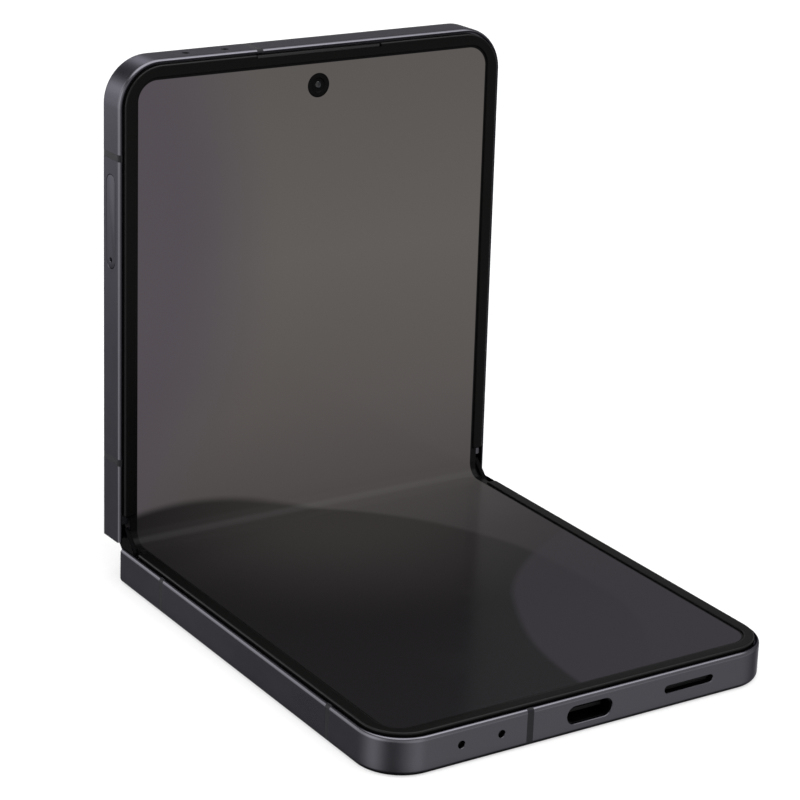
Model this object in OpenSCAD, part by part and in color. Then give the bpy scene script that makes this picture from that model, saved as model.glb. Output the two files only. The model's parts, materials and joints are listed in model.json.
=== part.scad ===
// Clamshell foldable smartphone, shown half folded: the lower half lies flat,
// the upper half stands on the hinge. Millimetres.
// X runs along the hinge, +Y towards the hinge, +Z up. The origin is the middle
// of the lower half's resting face.
// Both halves are drawn in one local frame (x, s, v): s is the distance from the
// meeting plane at the hinge, v is the height above the display surface.

/* [Body] */
// Width of the body along the hinge
body_w = 75.2; // [73:0.1:78]
// Length of one half, from the meeting plane to its free end
half_l = 84; // [83:0.5:88]
// Thickness of one half without its raised bezel
body_t = 6.5; // [6.2:0.1:6.8]
// Outer corner radius, seen from the front
corner_r = 7.8; // [7.6:0.1:9]
// Height of the bezel above the display surface
bezel_h = 0.4; // [0.4:0.05:0.55]

/* [Display] */
// Distance from the outer edge of the frame to the lit area
disp_inset = 3.3; // [3.2:0.1:4]
// Corner radius of the lit area
disp_r = 4.4; // [3:0.1:5]
// Radius of the fold on the visible side
fold_r = 2.6; // [2.2:0.1:3]
// Radius of the hole for the front camera
punch_r = 2.03; // [1.5:0.01:2.5]

/* [Hinge] */
// Angle between the open position and the position shown
fold_angle = 89; // [70:1:110]
// Half distance between the two turning axes
axis_a = 1.8; // [1.8:0.01:1.84]
// Radius of the spine cover round each axis
cover_r = 3.85; // [3.8:0.01:3.88]

/* [Ports and keys] */
// Width of the charging port opening
port_w = 8.8; // [8.6:0.05:9.2]
// Height of the charging port opening
port_h = 3.1; // [3:0.05:3.2]
// Length of the card tray's outer face
tray_l = 16.2; // [16:0.1:17]
// Length of the power key
power_l = 12.5; // [10:0.5:13]
// Length of the volume key
volume_l = 19; // [17:0.5:20]

/* [Hidden] */
$fn = 64;
hw = body_w / 2;
hl = half_l;
vt = -0.1;                // top of the metal rim
vb = -(body_t - vt);      // outer back face
yh = hl / 2;              // meeting plane in the part's frame
zd = -vb;                 // display surface of the lower half
ax = axis_a;              // turning axis, distance from the meeting plane
av = -1.15;               // turning axis, depth under the display
phi = fold_angle / 2;
wall = 1.9;               // frame wall below the bezel ledge
rim = 0.85;               // frame wall beside the bezel
gl_t = 0.5;               // back glass
seal_t = 0.1;
gv = vb + gl_t + seal_t;  // inner side of glass and seal
mp0 = -1.7;               // mid plate, lower face
mp1 = -0.95;              // mid plate, upper face
port_v = -3.3;            // height of the port, slots and holes in the end walls
bands_s = [15.2, 68.05];  // antenna bands on the side walls
band_w = 1.2;
mic_x = [-23.8, -16.5];
tray_s = hl - 27.2;
tray_v = -3.3;
power_s = 35;
volume_s = 54;
key_v = -3.2;
cam_x = [25.6, 11.4];
cam_s = hl - 11.6;
cam_r = [6.0, 6.0];
flash_x = 1.6;
front_s = hl - 7.1;
pitch_r = 1.05;           // gears: 12 teeth
gear_s = [-3.15, -1.05, 1.05, 3.15];
gear_v = -2.7;
pin_s = 9.9;
pin_v = -2.65;
cv = [3.15 - ax, av + 2.7];  // from the outer gear's shaft to the turning axis

// ---- placing -------------------------------------------------------------
module both() { children(); mirror([1, 0, 0]) children(); }
module lo() translate([0, yh, zd]) mirror([0, 1, 0]) children();
module sp() translate([0, yh - ax, zd + av]) rotate([phi, 0, 0]) translate([0, ax, -av]) children();
module up() sp() translate([0, ax, av]) rotate([phi, 0, 0]) translate([0, -ax, -av]) children();
module slab(v0, v1) translate([0, 0, v0]) linear_extrude(v1 - v0) children();
// 2D (s, v) drawn out along x, and 2D (x, v) drawn out along s
module ex(x0, x1) translate([x0, 0, 0]) rotate([90, 0, 90]) linear_extrude(x1 - x0) children();
module es(s0, s1) translate([0, s1, 0]) rotate([90, 0, 0]) linear_extrude(s1 - s0) children();
module rect(x0, y0, x1, y1) translate([x0, y0]) square([x1 - x0, y1 - y0]);
module box(a, b) translate(a) cube(b - a);
module pill(l, h) {
    square([l - h, h], center = true);
    for (k = [-1, 1]) translate([k * (l - h) / 2, 0]) circle(h / 2);
}
module rrect(x0, y0, x1, y1, r) {
    rect(x0 + r, y0, x1 - r, y1);
    rect(x0, y0 + r, x1, y1 - r);
    for (x = [x0 + r, x1 - r], y = [y0 + r, y1 - r]) translate([x, y]) circle(r);
}
// outline of a half: square at the hinge, round corners at the free end
module outl(s0, ins, r = -1) {
    q = r > 0 ? r : max(corner_r - ins, 0.4);
    x1 = hw - ins;
    s1 = hl - ins;
    rect(-x1, s0, x1, s1 - q);
    rect(-(x1 - q), s0, x1 - q, s1);
    for (k = [-1, 1]) translate([k * (x1 - q), s1 - q]) circle(q);
}
module wedge(a0, a1, r) polygon([[0, 0], for (i = [0:8]) r * [cos(a0 + (a1 - a0) * i / 8), sin(a0 + (a1 - a0) * i / 8)]]);
module ringsec(r0, r1, a0, a1) intersection() {
    difference() { circle(r1); circle(r0); }
    wedge(a0, a1, 2 * r1);
}

// ---- frames --------------------------------------------------------------
module frame_solid() difference() {
    slab(vb, vt) outl(0.6, 0);
    // bezel ledge and display pocket
    slab(-0.45, 1) outl(-1, rim);
    slab(mp1, 1) outl(-1, wall);
    // room for battery and boards under the mid plate
    slab(vb - 1, mp0) outl(15.8, wall);
    // recess of the back glass
    slab(vb - 1, gv) outl(6.55, 1.0);
    // hinge room, open to the spine
    ex(-(hw - wall), hw - wall) {
        translate([ax, av]) circle(cover_r + 0.1);
        rect(-1, av - cover_r - 0.1, ax, 1);
        rect(-1, -2.85, 6, 1);
    }
    ex(-(hw - wall), hw - wall) rect(6.3, gv, 14.1, 1);
    ex(-(hw - wall), hw - wall) rect(5.9, -2.85, 16, -1.25 + 0.3);
    ex(-(hw - wall), hw - wall) rect(14, gv - 0.01, 16, gv + 0.35);
    screw_holes();
    // room for the spine's end caps inside the rims
    slab(-2.3, 1) rect(-(hw - rim), -1, hw - rim, 3.9);
    // ends of the side walls roll on each other
    ex(-hw - 1, hw + 1) difference() {
        rect(-1, av, ax, 1);
        translate([ax, av]) circle(ax - 0.03);
    }
}
module screw_holes() for (x = [-32, -24, 24, 32]) translate([x, 14.95, -4]) cylinder(r = 0.5, h = 4);
module ledge() {
    // ledge that the rail arms are screwed to
    difference() {
        ex(-(hw - wall), hw - wall) rect(14.1, gv + 0.35, 15.8, -1.25);
        screw_holes();
        ex(-6.3, 6.3) rect(14, -2.4, 16, 0);
    }
}
module band_slots() {
    for (s = bands_s, k = [-1, 1]) translate([k * (hw - 0.5), s, (vb + vt) / 2]) cube([1, band_w, body_t + 1], center = true);
    translate([-11.27, hl - 0.5, (vb + vt) / 2]) cube([band_w, 1, body_t + 1], center = true);
}
module lower_frame() color([0.27, 0.27, 0.30]) lo() {
    difference() {
        frame_solid();
        band_slots();
        es(hl - 3, hl + 1) translate([0, port_v]) pill(port_w, port_h);
        es(hl - 3, hl + 1) translate([19.35, port_v + 0.15]) pill(9.8, 1.45);
        for (x = mic_x) es(hl - 3, hl + 1) translate([x, port_v + 0.15]) circle(0.65);
        // relief over the charging port
        box([-4.8, hl - 9.7, -2.2], [4.8, hl - 1.5, -1.3]);
    }
    ledge();
}
module upper_frame() color([0.27, 0.27, 0.30]) up() {
    difference() {
        frame_solid();
        band_slots();
        for (x = mic_x) es(hl - 3, hl + 1) translate([x, port_v + 0.15]) circle(0.5);
        // card tray: recess for its face, then the slot
        ex(-hw - 1, -hw + 1.3) translate([tray_s, tray_v]) pill(tray_l + 0.2, 3.0);
        ex(-hw - 1, -hw + 2.5) rect(tray_s - 5.0, tray_v - 0.5, tray_s + 7.9, tray_v + 0.5);
        ex(-hw - 1, -hw + 2.5) translate([tray_s - 6.6, tray_v]) circle(0.5);
        // keys: recess and plunger holes
        ex(hw - 1.4, hw + 1) translate([power_s, key_v]) pill(power_l + 0.3, 2.7);
        ex(hw - 1.4, hw + 1) translate([volume_s, key_v]) pill(volume_l + 0.3, 2.7);
        ex(hw - 3, hw) for (s = [power_s, volume_s - 6.5, volume_s + 6.5]) translate([s, key_v]) circle(0.65);
        translate([hw - 1.1, volume_s, key_v - 1.3]) cylinder(r = 0.5, h = 2.6);
        // front camera and earpiece channel
        slab(-2, 0) translate([0, front_s]) circle(2.75);
        slab(-1.75, 0) rrect(-6.8, hl - 4, 6.8, hl - 2.5, 0.5);
    }
    ledge();
}
module lower_antenna_bands() color([0.20, 0.20, 0.22]) lo() intersection() { frame_solid(); band_slots(); }
module upper_antenna_bands() color([0.20, 0.20, 0.22]) up() intersection() { frame_solid(); band_slots(); }

// ---- covers, glass, display ------------------------------------------------
module lower_back_glass() color([0.16, 0.16, 0.18]) lo() slab(vb, vb + gl_t) outl(6.6, 1.05);
module cam_holes(g) {
    for (i = [0, 1]) translate([cam_x[i], cam_s]) circle(cam_r[i] - 0.6 + g);
    translate([flash_x, cam_s]) circle(1.5 + g);
}
module upper_cover_glass() color([0.07, 0.07, 0.09]) up() slab(vb, vb + gl_t) difference() { outl(6.6, 1.05); cam_holes(0.05); }
module seal2() difference() { outl(6.6, 1.05); outl(7.4, 1.8); }
module lower_back_seal() color([0.1, 0.1, 0.1]) lo() slab(vb + gl_t, gv) seal2();
module upper_back_seal() color([0.1, 0.1, 0.1]) up() slab(vb + gl_t, gv) seal2();
module cover_display() color([0.03, 0.03, 0.05]) up() slab(vb + gl_t, gv + 0.3) difference() {
    outl(8.2, 2.2);
    cam_holes(0.7);
    rect(-15, 6, 15, 9);
}
module camera_rings() color([0.30, 0.30, 0.33]) up() for (i = [0, 1]) translate([cam_x[i], cam_s, 0]) difference() {
    union() {
        slab(vb - 1.3, vb) circle(cam_r[i]);
        slab(vb, vb + gl_t) circle(cam_r[i] - 0.6);
    }
    slab(vb - 2, vb - 1.0) circle(cam_r[i] - 0.9);
    slab(vb - 2, vb + 1) circle(3.6);
}
module camera_lenses() color([0.05, 0.05, 0.08]) up() for (i = [0, 1]) translate([cam_x[i], cam_s, 0])
    slab(vb - 1.25, vb - 1.0) circle(cam_r[i] - 0.92);
module camera_modules() color([0.12, 0.12, 0.13]) up() for (i = [0, 1]) translate([cam_x[i], cam_s, 0]) {
    slab(-4.9, -1.8) rrect(-5.4, -5.4, 5.4, 5.4, 0.6);
    slab(vb - 0.9, -4.9) circle(3.5);
}
module flash_lens() color([0.9, 0.86, 0.6]) up() translate([flash_x, cam_s, 0]) slab(vb - 0.1, vb + gl_t) circle(1.5);
module bezel2(o) difference() { outl(5.5, o); outl(-1, disp_inset, disp_r); }
module lower_bezel() color([0.08, 0.08, 0.08]) lo() {
    slab(0.05, bezel_h) bezel2(1.1);
    slab(-0.45, 0.05) difference() { outl(5.5, 1.1); outl(-1, 1.75); }
}
module upper_bezel() color([0.08, 0.08, 0.08]) up() difference() {
    union() {
        slab(0.05, bezel_h) bezel2(1.1);
        slab(-0.45, 0.05) difference() { outl(5.5, 1.1); outl(-1, 1.75); }
    }
    slab(0.15, 1) rect(-11.8, hl - 1.75, 11.8, hl);
}
module lower_display_plate() color([0.55, 0.55, 0.57]) lo() slab(-0.9, -0.75) outl(7.05, 2.1);
module upper_display_plate() color([0.55, 0.55, 0.57]) up() slab(-0.9, -0.75) difference() {
    outl(7.05, 2.1);
    translate([0, front_s]) circle(punch_r + 0.3);
}
module display_lower() color([0.16, 0.15, 0.17]) lo() slab(-0.75, 0) outl(7.05, 2.0);
module display_upper() color([0.36, 0.34, 0.34]) up() slab(-0.75, 0) difference() {
    outl(7.05, 2.0);
    translate([0, front_s]) circle(punch_r);
}
module front_camera() color([0.02, 0.02, 0.03]) up() translate([0, front_s, 0]) {
    slab(-0.9, -0.12) circle(punch_r - 0.08);
    slab(-1.8, -0.9) circle(2.6);
    slab(-4.6, -1.8) rrect(-2.75, -2.75, 2.75, 2.75, 0.5);
}
// folding stretch of the display: two flat runs joined by one round bend
fd = (ax + av * sin(phi)) / cos(phi);
fs = ax - fd;
fv = av - fd * sin(phi) - av * cos(phi);
ft = fold_r * tan(phi);
module display_fold() color([0.25, 0.24, 0.25]) sp() ex(-(hw - 3.4), hw - 3.4) {
    for (k = [0, 1]) mirror([k, 0]) translate([ax, av]) rotate(phi) translate([-ax, -av]) rect(fs + ft - 0.3, -0.33, 7.0, -0.01);
    translate([0, fv + fold_r / cos(phi)]) ringsec(fold_r, fold_r + 0.35, 270 - phi, 270 + phi);
}

// ---- hinge -----------------------------------------------------------------
module prof(r) intersection() {
    union() {
        for (k = [-1, 1]) translate([k * ax, av]) circle(r);
        rect(-ax, av - r, ax, av);
    }
    rect(-9, -9, 9, -1.35);
}
module spine_cover() color([0.29, 0.29, 0.32]) sp() {
    ex(-(hw - 2.3), hw - 2.3) difference() { intersection() { prof(cover_r); rect(-9, -9, 9, -2.4); } prof(cover_r - 0.35); }
    both() ex(hw - 2.3, hw - 2.0) prof(cover_r);
}
module hinge_end_caps() color([0.10, 0.10, 0.11]) sp() both() {
    ex(hw - 3.3, hw - 1.2) rect(-2.6, 0.05, 2.6, 0.35);
    ex(hw - 2.3, hw - 2.0) rect(-0.55, -1.35, 0.55, 0.1);
}
module gear_room() {
    rect(-4.5, gear_v, 4.5, 0);
    for (s = gear_s) translate([s, gear_v]) circle(1.33);
}
module hinge_housings() color([0.45, 0.45, 0.47]) sp() both() {
    // rail block: one curved track for each half
    difference() {
        ex(26.6, hw - 2.3) prof(cover_r - 0.37);
        ex(31.05, 34.35) mirror([1, 0]) track();
        ex(27.25, 30.55) track();
    }
    // gear block: a room for the gears, a room for the springs
    difference() {
        ex(13.6, 26.0) prof(cover_r - 0.37);
        ex(20.2, 23.8) intersection() { prof(cover_r - 0.55); gear_room(); }
        ex(20.2, 22.1) { rect(-7, -2.35, 7, 0); }
        ex(14.6, 19.2) gear_room();
        for (s = gear_s) ex(13, 25.2) translate([s, gear_v]) circle(0.4);
    }
    ex(26.0, 26.6) prof(cover_r - 0.37);
}
module track() translate([ax, av]) ringsec(1.89, 2.81, -156, 32);
module runner() translate([ax, av]) ringsec(1.95, 2.75, -150, 6);
module rail_arm(x0, x1) both() {
    difference() {
        union() {
            ex(x0, x1) { runner(); rect(3.8, -1.25, 8, mp1); }
            box([19.4, 6.2, -1.25], [34.6, 15.7, mp1]);
            // lugs that hold the pin of the sync arm
            for (x = [19.6, 22.2]) ex(x, x + 0.5) { rect(pin_s - 0.8, pin_v, pin_s + 0.8, -1.2); translate([pin_s, pin_v]) circle(0.8); }
            ex(19.6, 22.7) translate([pin_s, pin_v]) circle(0.3);
        }
        for (x = [24, 32]) translate([x, 14.95, -2]) { cylinder(r = 0.5, h = 2); translate([0, 0, 0.85]) cylinder(r = 0.92, h = 1); }
    }
}
module lower_rail_arms() color([0.62, 0.62, 0.64]) lo() rail_arm(31.2, 34.2);
module upper_rail_arms() color([0.62, 0.62, 0.64]) up() rail_arm(27.4, 30.4);
module hinge_screws() both() for (x = [24, 32]) translate([x, 14.95, 0]) {
    slab(-3.4, -1.15) circle(0.5);
    slab(-1.15, mp1 - 0.02) circle(0.9);
}
module lower_hinge_screws() color([0.7, 0.7, 0.7]) lo() hinge_screws();
module upper_hinge_screws() color([0.7, 0.7, 0.7]) up() hinge_screws();
module gear2(ph) difference() {
    union() {
        circle(0.84);
        for (i = [0:11]) rotate(ph + i * 30) polygon([
            0.8 * [cos(8), -sin(8)], 1.05 * [cos(5.6), -sin(5.6)], 1.18 * [cos(2.2), -sin(2.2)],
            1.18 * [cos(2.2), sin(2.2)], 1.05 * [cos(5.6), sin(5.6)], 0.8 * [cos(8), sin(8)]]);
    }
    circle(0.43);
}
module idler(i, ph) sp() both() translate([0, gear_s[i], gear_v]) {
    ex(22.2, 23.6) gear2(ph);
    ex(20.4, 22.2) difference() { circle(0.68); circle(0.43); }
}
module lower_idler_gears() color([0.75, 0.68, 0.5]) idler(1, 0);
module upper_idler_gears() color([0.75, 0.68, 0.5]) idler(2, 15);
// sync arm in the half's frame: it stays parallel to the half and turns about its own shaft
sh = [cv[0] * (1 - cos(phi)) + cv[1] * sin(phi), cv[1] * (1 - cos(phi)) - cv[0] * sin(phi)];
module sync_arm(ph) both() translate([0, -sh[0], sh[1]]) {
    ex(20.4, 21.9) difference() {
        union() {
            translate([3.15, gear_v]) circle(0.95);
            rect(2.95, gear_v, 3.85, -1.5);
            rect(2.95, -2.2, 13.5, -1.5);
            rect(9.35, -3.65, 13.5, -1.5);
        }
        translate([3.15, gear_v]) circle(0.43);
        // curved slot for the pin
        translate([pin_s + cv[0], pin_v - cv[1]]) {
            a0 = 180 - atan2(cv[1], cv[0]);
            r = norm(cv);
            ringsec(r - 0.36, r + 0.36, a0 - 91, a0 + 1);
            for (a = [a0 - 91, a0 + 1]) translate(r * [cos(a), sin(a)]) circle(0.33);
        }
    }
    translate([0, 3.15, gear_v]) {
        ex(21.9, 22.2) difference() { circle(0.68); circle(0.43); }
        ex(22.2, 23.6) gear2(ph);
    }
}
module lower_sync_arms() color([0.70, 0.70, 0.72]) lo() sync_arm(0 - phi + 15);
module upper_sync_arms() color([0.70, 0.70, 0.72]) up() sync_arm(0 - phi);
module gear_shafts() color([0.8, 0.8, 0.82]) sp() both() for (s = gear_s) ex(13.8, 25.2) translate([s, gear_v]) circle(0.4);
// stacks of spring washers, as one wavy sleeve on each shaft
module friction_springs() color([0.6, 0.6, 0.6]) sp() both() for (s = gear_s) translate([14.6, s, gear_v]) rotate([0, 90, 0])
    rotate_extrude() polygon([[0.4, 0], for (i = [0:11]) [i % 2 == 0 ? 0.62 : 0.98, i * 4.6 / 11], [0.4, 4.6]]);
// flat cable that crosses the hinge with some slack
function tosp(s, v) = let (d = s - ax, e = v - av) [ax + d * cos(phi) - e * sin(phi), av + d * sin(phi) + e * cos(phi)];
flexh = [tosp(17.5, -2.1), tosp(14, -2.1), tosp(10, -2.0), tosp(7, -2.0), tosp(5, -2.3), [2.6, -2.6], [1.3, -3.3], [0, -3.5]];
flexp = [for (p = flexh) p, for (i = [6:-1:0]) [-flexh[i][0], flexh[i][1]]];
function nrm(i) = let (a = flexp[max(i - 1, 0)], b = flexp[min(i + 1, len(flexp) - 1)], d = (b - a) / norm(b - a)) [-d[1], d[0]];
module hinge_flex_cable() color([0.35, 0.22, 0.08]) sp() ex(-5.5, 5.5) polygon(concat(
    [for (i = [0:len(flexp) - 1]) flexp[i] + 0.08 * nrm(i)],
    [for (i = [len(flexp) - 1:-1:0]) flexp[i] - 0.08 * nrm(i)]));

// ---- inside the lower half ---------------------------------------------------
module lower_battery() color([0.12, 0.12, 0.13]) lo() slab(gv + 0.5, -1.85) rrect(-32.5, 18.6, 32.5, 62, 1);
module charging_coil() color([0.72, 0.45, 0.2]) lo() translate([0, 40, 0]) slab(gv + 0.05, gv + 0.4) difference() { circle(20); circle(8); }
module sub_board() color([0.05, 0.2, 0.12]) lo() slab(gv + 0.2, gv + 0.8) difference() {
    union() { rect(-33, 63.5, 10.5, 75); rect(-27, 75, 10.5, hl - 2.6); }
    for (p = [[-30, 66.5], [8, 66.5], [-8, hl - 5]]) translate(p) circle(0.6);
}
module usb_shell() color([0.6, 0.6, 0.62]) lo() es(hl - 8.6, hl - 0.35) translate([0, port_v]) difference() { pill(port_w - 0.1, port_h - 0.1); pill(port_w - 0.5, port_h - 0.5); }
module usb_tongue() color([0.05, 0.05, 0.05]) lo() {
    es(hl - 8.6, hl - 7.4) translate([0, port_v]) pill(port_w - 0.5, port_h - 0.5);
    es(hl - 7.4, hl - 1.1) translate([0, port_v]) square([6.7, 0.7], center = true);
}
module speaker_module() color([0.09, 0.09, 0.1]) lo() slab(gv + 0.1, -1.9) union() { rrect(12, 64, 33, 74, 0.8); rrect(12, 70, 29.5, hl - 2.3, 0.8); }
module lower_microphones() color([0.7, 0.65, 0.4]) lo() for (x = mic_x) slab(gv + 0.8, -2.1) rrect(x - 1.7, hl - 4.6, x + 1.7, hl - 2.3, 0.2);
module vibration_motor() color([0.65, 0.65, 0.67]) lo() translate([-21.5, 70, 0]) slab(gv + 0.8, -2.2) circle(4.5);
module board_screws() color([0.7, 0.7, 0.7]) lo() for (p = [[-30, 66.5], [8, 66.5], [-8, hl - 5]]) translate(p) {
    slab(gv + 0.2, gv + 0.8) circle(0.6);
    slab(gv + 0.8, gv + 1.2) circle(1.1);
}

// ---- inside the upper half ---------------------------------------------------
module upper_battery() color([0.12, 0.12, 0.13]) up() slab(gv + 0.4, -1.85) rrect(-32.5, 18.6, 32.5, 44.5, 1);
module main_board() color([0.05, 0.2, 0.12]) up() slab(-4.6, -3.95) union() {
    rect(-33, 46, 33, hl - 19);
    rect(-29, 60, -4.5, hl - 5.5);
}
module shield_cans() color([0.66, 0.66, 0.68]) up() {
    slab(-3.95, -2.0) rrect(-12, 47.5, 14, hl - 22, 0.5);
    slab(-3.95, -2.0) rrect(16, 47.5, 30, hl - 22, 0.5);
    slab(-3.95, -2.2) rrect(-26, hl - 16.5, -6, hl - 7.5, 0.5);
}
module upper_microphones() color([0.7, 0.65, 0.4]) up() for (x = mic_x) slab(-4.4, -2.1) rrect(x - 1.5, hl - 4.8, x + 1.5, hl - 2.3, 0.2);
module earpiece() color([0.1, 0.1, 0.1]) up() slab(-3.9, -1.8) rrect(-6.5, hl - 4.35, 6.5, hl - 2.1, 0.4);
module sim_tray() color([0.29, 0.29, 0.32]) up() {
    difference() {
        union() {
            ex(-hw, -hw + 1.2) translate([tray_s, tray_v]) pill(tray_l, 2.8);
            ex(-hw + 1.2, -hw + 21) rect(tray_s - 4.8, tray_v - 0.4, tray_s + 7.7, tray_v + 0.4);
        }
        ex(-hw - 1, -hw + 2) translate([tray_s - 6.6, tray_v]) circle(0.42);
        // seat of the card
        slab(tray_v - 0.15, tray_v + 1) rrect(-hw + 3.2, tray_s - 3.8, -hw + 15.6, tray_s + 5.1, 0.3);
        slab(tray_v - 1, tray_v + 1) rrect(-hw + 4.4, tray_s - 2.6, -hw + 14.4, tray_s + 3.9, 0.3);
    }
}
module sim_reader() color([0.66, 0.66, 0.68]) up() difference() {
    box([-hw + 2.2, tray_s - 6.8, tray_v - 0.65], [-hw + 22.3, tray_s + 8.6, tray_v + 0.75]);
    box([-hw + 2.0, tray_s - 5.0, tray_v - 0.5], [-hw + 21.6, tray_s + 7.9, tray_v + 0.5]);
}
module power_key() color([0.27, 0.27, 0.30]) up() translate([0, power_s, key_v]) {
    ex(hw - 1.1, hw + 0.35) pill(power_l, 2.4);
    ex(hw - 2.35, hw - 1.1) circle(0.5);
}
module volume_key() color([0.27, 0.27, 0.30]) up() translate([0, volume_s, key_v]) {
    ex(hw - 1.1, hw + 0.35) pill(volume_l, 2.4);
    ex(hw - 2.35, hw - 1.1) for (s = [-6.5, 6.5]) translate([s, 0]) circle(0.5);
    // rib that the key rocks on
    translate([hw - 1.1, 0, -1.15]) cylinder(r = 0.45, h = 2.3);
}
module key_switches() color([0.75, 0.7, 0.5]) up() for (s = [power_s, volume_s - 6.5, volume_s + 6.5]) translate([0, s, key_v]) {
    ex(hw - 3.8, hw - 2.9) square([3, 1.8], center = true);
    ex(hw - 2.9, hw - 2.6) circle(0.8);
}

lower_frame();
upper_frame();
lower_antenna_bands();
upper_antenna_bands();
lower_back_glass();
upper_cover_glass();
lower_back_seal();
upper_back_seal();
cover_display();
camera_rings();
camera_lenses();
camera_modules();
flash_lens();
lower_bezel();
upper_bezel();
display_lower();
display_upper();
display_fold();
lower_display_plate();
upper_display_plate();
front_camera();
spine_cover();
hinge_end_caps();
hinge_housings();
gear_shafts();
friction_springs();
lower_rail_arms();
upper_rail_arms();
lower_sync_arms();
upper_sync_arms();
lower_idler_gears();
upper_idler_gears();
hinge_flex_cable();
lower_hinge_screws();
upper_hinge_screws();
lower_battery();
upper_battery();
main_board();
shield_cans();
sub_board();
usb_shell();
usb_tongue();
speaker_module();
lower_microphones();
upper_microphones();
earpiece();
vibration_motor();
charging_coil();
sim_tray();
sim_reader();
power_key();
volume_key();
key_switches();
board_screws();
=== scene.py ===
"""Looks of the half-folded clamshell phone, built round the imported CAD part.

Lengths in the helpers are millimetres in three local frames, and they turn into
the row frame's metres when a mesh is made:
  lo(x, s, v)  lower half: s from the meeting plane, v above its display surface
  up(x, s, v)  upper half, the same way
  sp(x, u, v)  spine: u across it, v above its own display level
"""

import json
import math

import bmesh
import bpy
import numpy as np
from mathutils import Matrix, Vector


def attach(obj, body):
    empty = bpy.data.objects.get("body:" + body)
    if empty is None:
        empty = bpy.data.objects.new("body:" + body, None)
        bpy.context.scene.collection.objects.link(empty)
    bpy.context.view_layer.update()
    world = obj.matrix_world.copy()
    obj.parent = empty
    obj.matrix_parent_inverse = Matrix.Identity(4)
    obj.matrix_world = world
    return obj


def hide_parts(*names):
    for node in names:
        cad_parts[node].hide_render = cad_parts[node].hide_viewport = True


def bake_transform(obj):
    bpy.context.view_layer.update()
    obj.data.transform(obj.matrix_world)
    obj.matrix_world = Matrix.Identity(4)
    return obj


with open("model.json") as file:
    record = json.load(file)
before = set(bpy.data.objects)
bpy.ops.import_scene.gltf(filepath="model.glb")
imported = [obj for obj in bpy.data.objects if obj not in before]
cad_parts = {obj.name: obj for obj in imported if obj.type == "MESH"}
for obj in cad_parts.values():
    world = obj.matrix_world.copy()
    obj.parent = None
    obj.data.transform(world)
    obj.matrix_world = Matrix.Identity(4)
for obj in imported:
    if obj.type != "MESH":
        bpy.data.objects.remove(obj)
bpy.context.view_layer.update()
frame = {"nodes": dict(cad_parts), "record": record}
N = frame["nodes"]

# ------------------------------------------------------------------ dimensions
HW, HL, CR = 37.6, 84.0, 7.75         # half width, length of a half, corner radius
VB = -6.6                             # back face
YH, ZD = 42.0, 6.6                    # meeting plane, display surface of the lower half
AX, AV = 1.8, -1.15                   # turning axes
PHI = math.radians(44.5)              # half of the angle turned from the open position
CP, SP = math.cos(PHI), math.sin(PHI)
C2, S2 = math.cos(2 * PHI), math.sin(2 * PHI)
V1 = (YH - AX, ZD + AV)
V2 = (V1[0] + 2 * AX * CP, V1[1] + 2 * AX * SP)
LIT, LIT_R = 3.32, 3.5                # lit area: distance from the outer edge, corner radius
BEZ_O, BEZ_I, BEZ_H = 0.86, 2.95, 0.28
FILM = 35.55                          # half width of the film
WALL_S = 0.72                         # hinge end of the side walls
FOLD_R = 2.6
BAND_W, BANDS, BAND_X = 1.2, (15.2, 68.05), -11.27
MIC_X = (-23.8, -16.5)
CAM_X, CAM_S, FLASH_X = (25.6, 11.4), HL - 11.6, 1.6
FRONT_S, PUNCH_R = HL - 7.1, 2.05
PORT_V, SLOT_V = -3.3, -3.15
TRAY_S, TRAY_V, TRAY_L = HL - 27.2, -3.3, 16.0
KEY_V = -3.2
MM = 0.001


def lo(p):
    p = np.asarray(p, float).reshape(-1, 3)
    return np.stack([p[:, 0], YH - p[:, 1], ZD + p[:, 2]], 1) * MM


def up(p):
    p = np.asarray(p, float).reshape(-1, 3)
    a, b = p[:, 1] - AX, p[:, 2] - AV
    return np.stack([p[:, 0], V2[0] + a * C2 - b * S2, V2[1] + a * S2 + b * C2], 1) * MM


def sp(p):
    p = np.asarray(p, float).reshape(-1, 3)
    a, b = p[:, 1] + AX, p[:, 2] - AV
    return np.stack([p[:, 0], V1[0] + a * CP - b * SP, V1[1] + a * SP + b * CP], 1) * MM


# ------------------------------------------------------------------ materials
def new_mat(name):
    m = bpy.data.materials.new(name)
    m.use_nodes = True
    nt = m.node_tree
    nt.nodes.clear()
    out = nt.nodes.new("ShaderNodeOutputMaterial")
    bsdf = nt.nodes.new("ShaderNodeBsdfPrincipled")
    nt.links.new(bsdf.outputs[0], out.inputs[0])
    return m, nt, bsdf


def math_node(nt, op, a, b=None, c=None, clamp=False):
    n = nt.nodes.new("ShaderNodeMath")
    n.operation = op
    n.use_clamp = clamp
    for i, v in enumerate((a, b, c)):
        if v is None:
            continue
        if isinstance(v, (int, float)):
            n.inputs[i].default_value = v
        else:
            nt.links.new(v, n.inputs[i])
    return n.outputs[0]


def noise(nt, vec, scale, detail=3.0, rough=0.55, dist=0.0):
    n = nt.nodes.new("ShaderNodeTexNoise")
    n.inputs["Scale"].default_value = scale
    n.inputs["Detail"].default_value = detail
    n.inputs["Roughness"].default_value = rough
    n.inputs["Distortion"].default_value = dist
    nt.links.new(vec, n.inputs["Vector"])
    return n.outputs["Fac"]


def ranged(nt, fac, lo_in, hi_in, lo_out, hi_out, smooth=False):
    n = nt.nodes.new("ShaderNodeMapRange")
    if smooth:
        n.interpolation_type = "SMOOTHSTEP"
    nt.links.new(fac, n.inputs["Value"])
    for k, v in (("From Min", lo_in), ("From Max", hi_in), ("To Min", lo_out), ("To Max", hi_out)):
        n.inputs[k].default_value = v
    return n.outputs["Result"]


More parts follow.
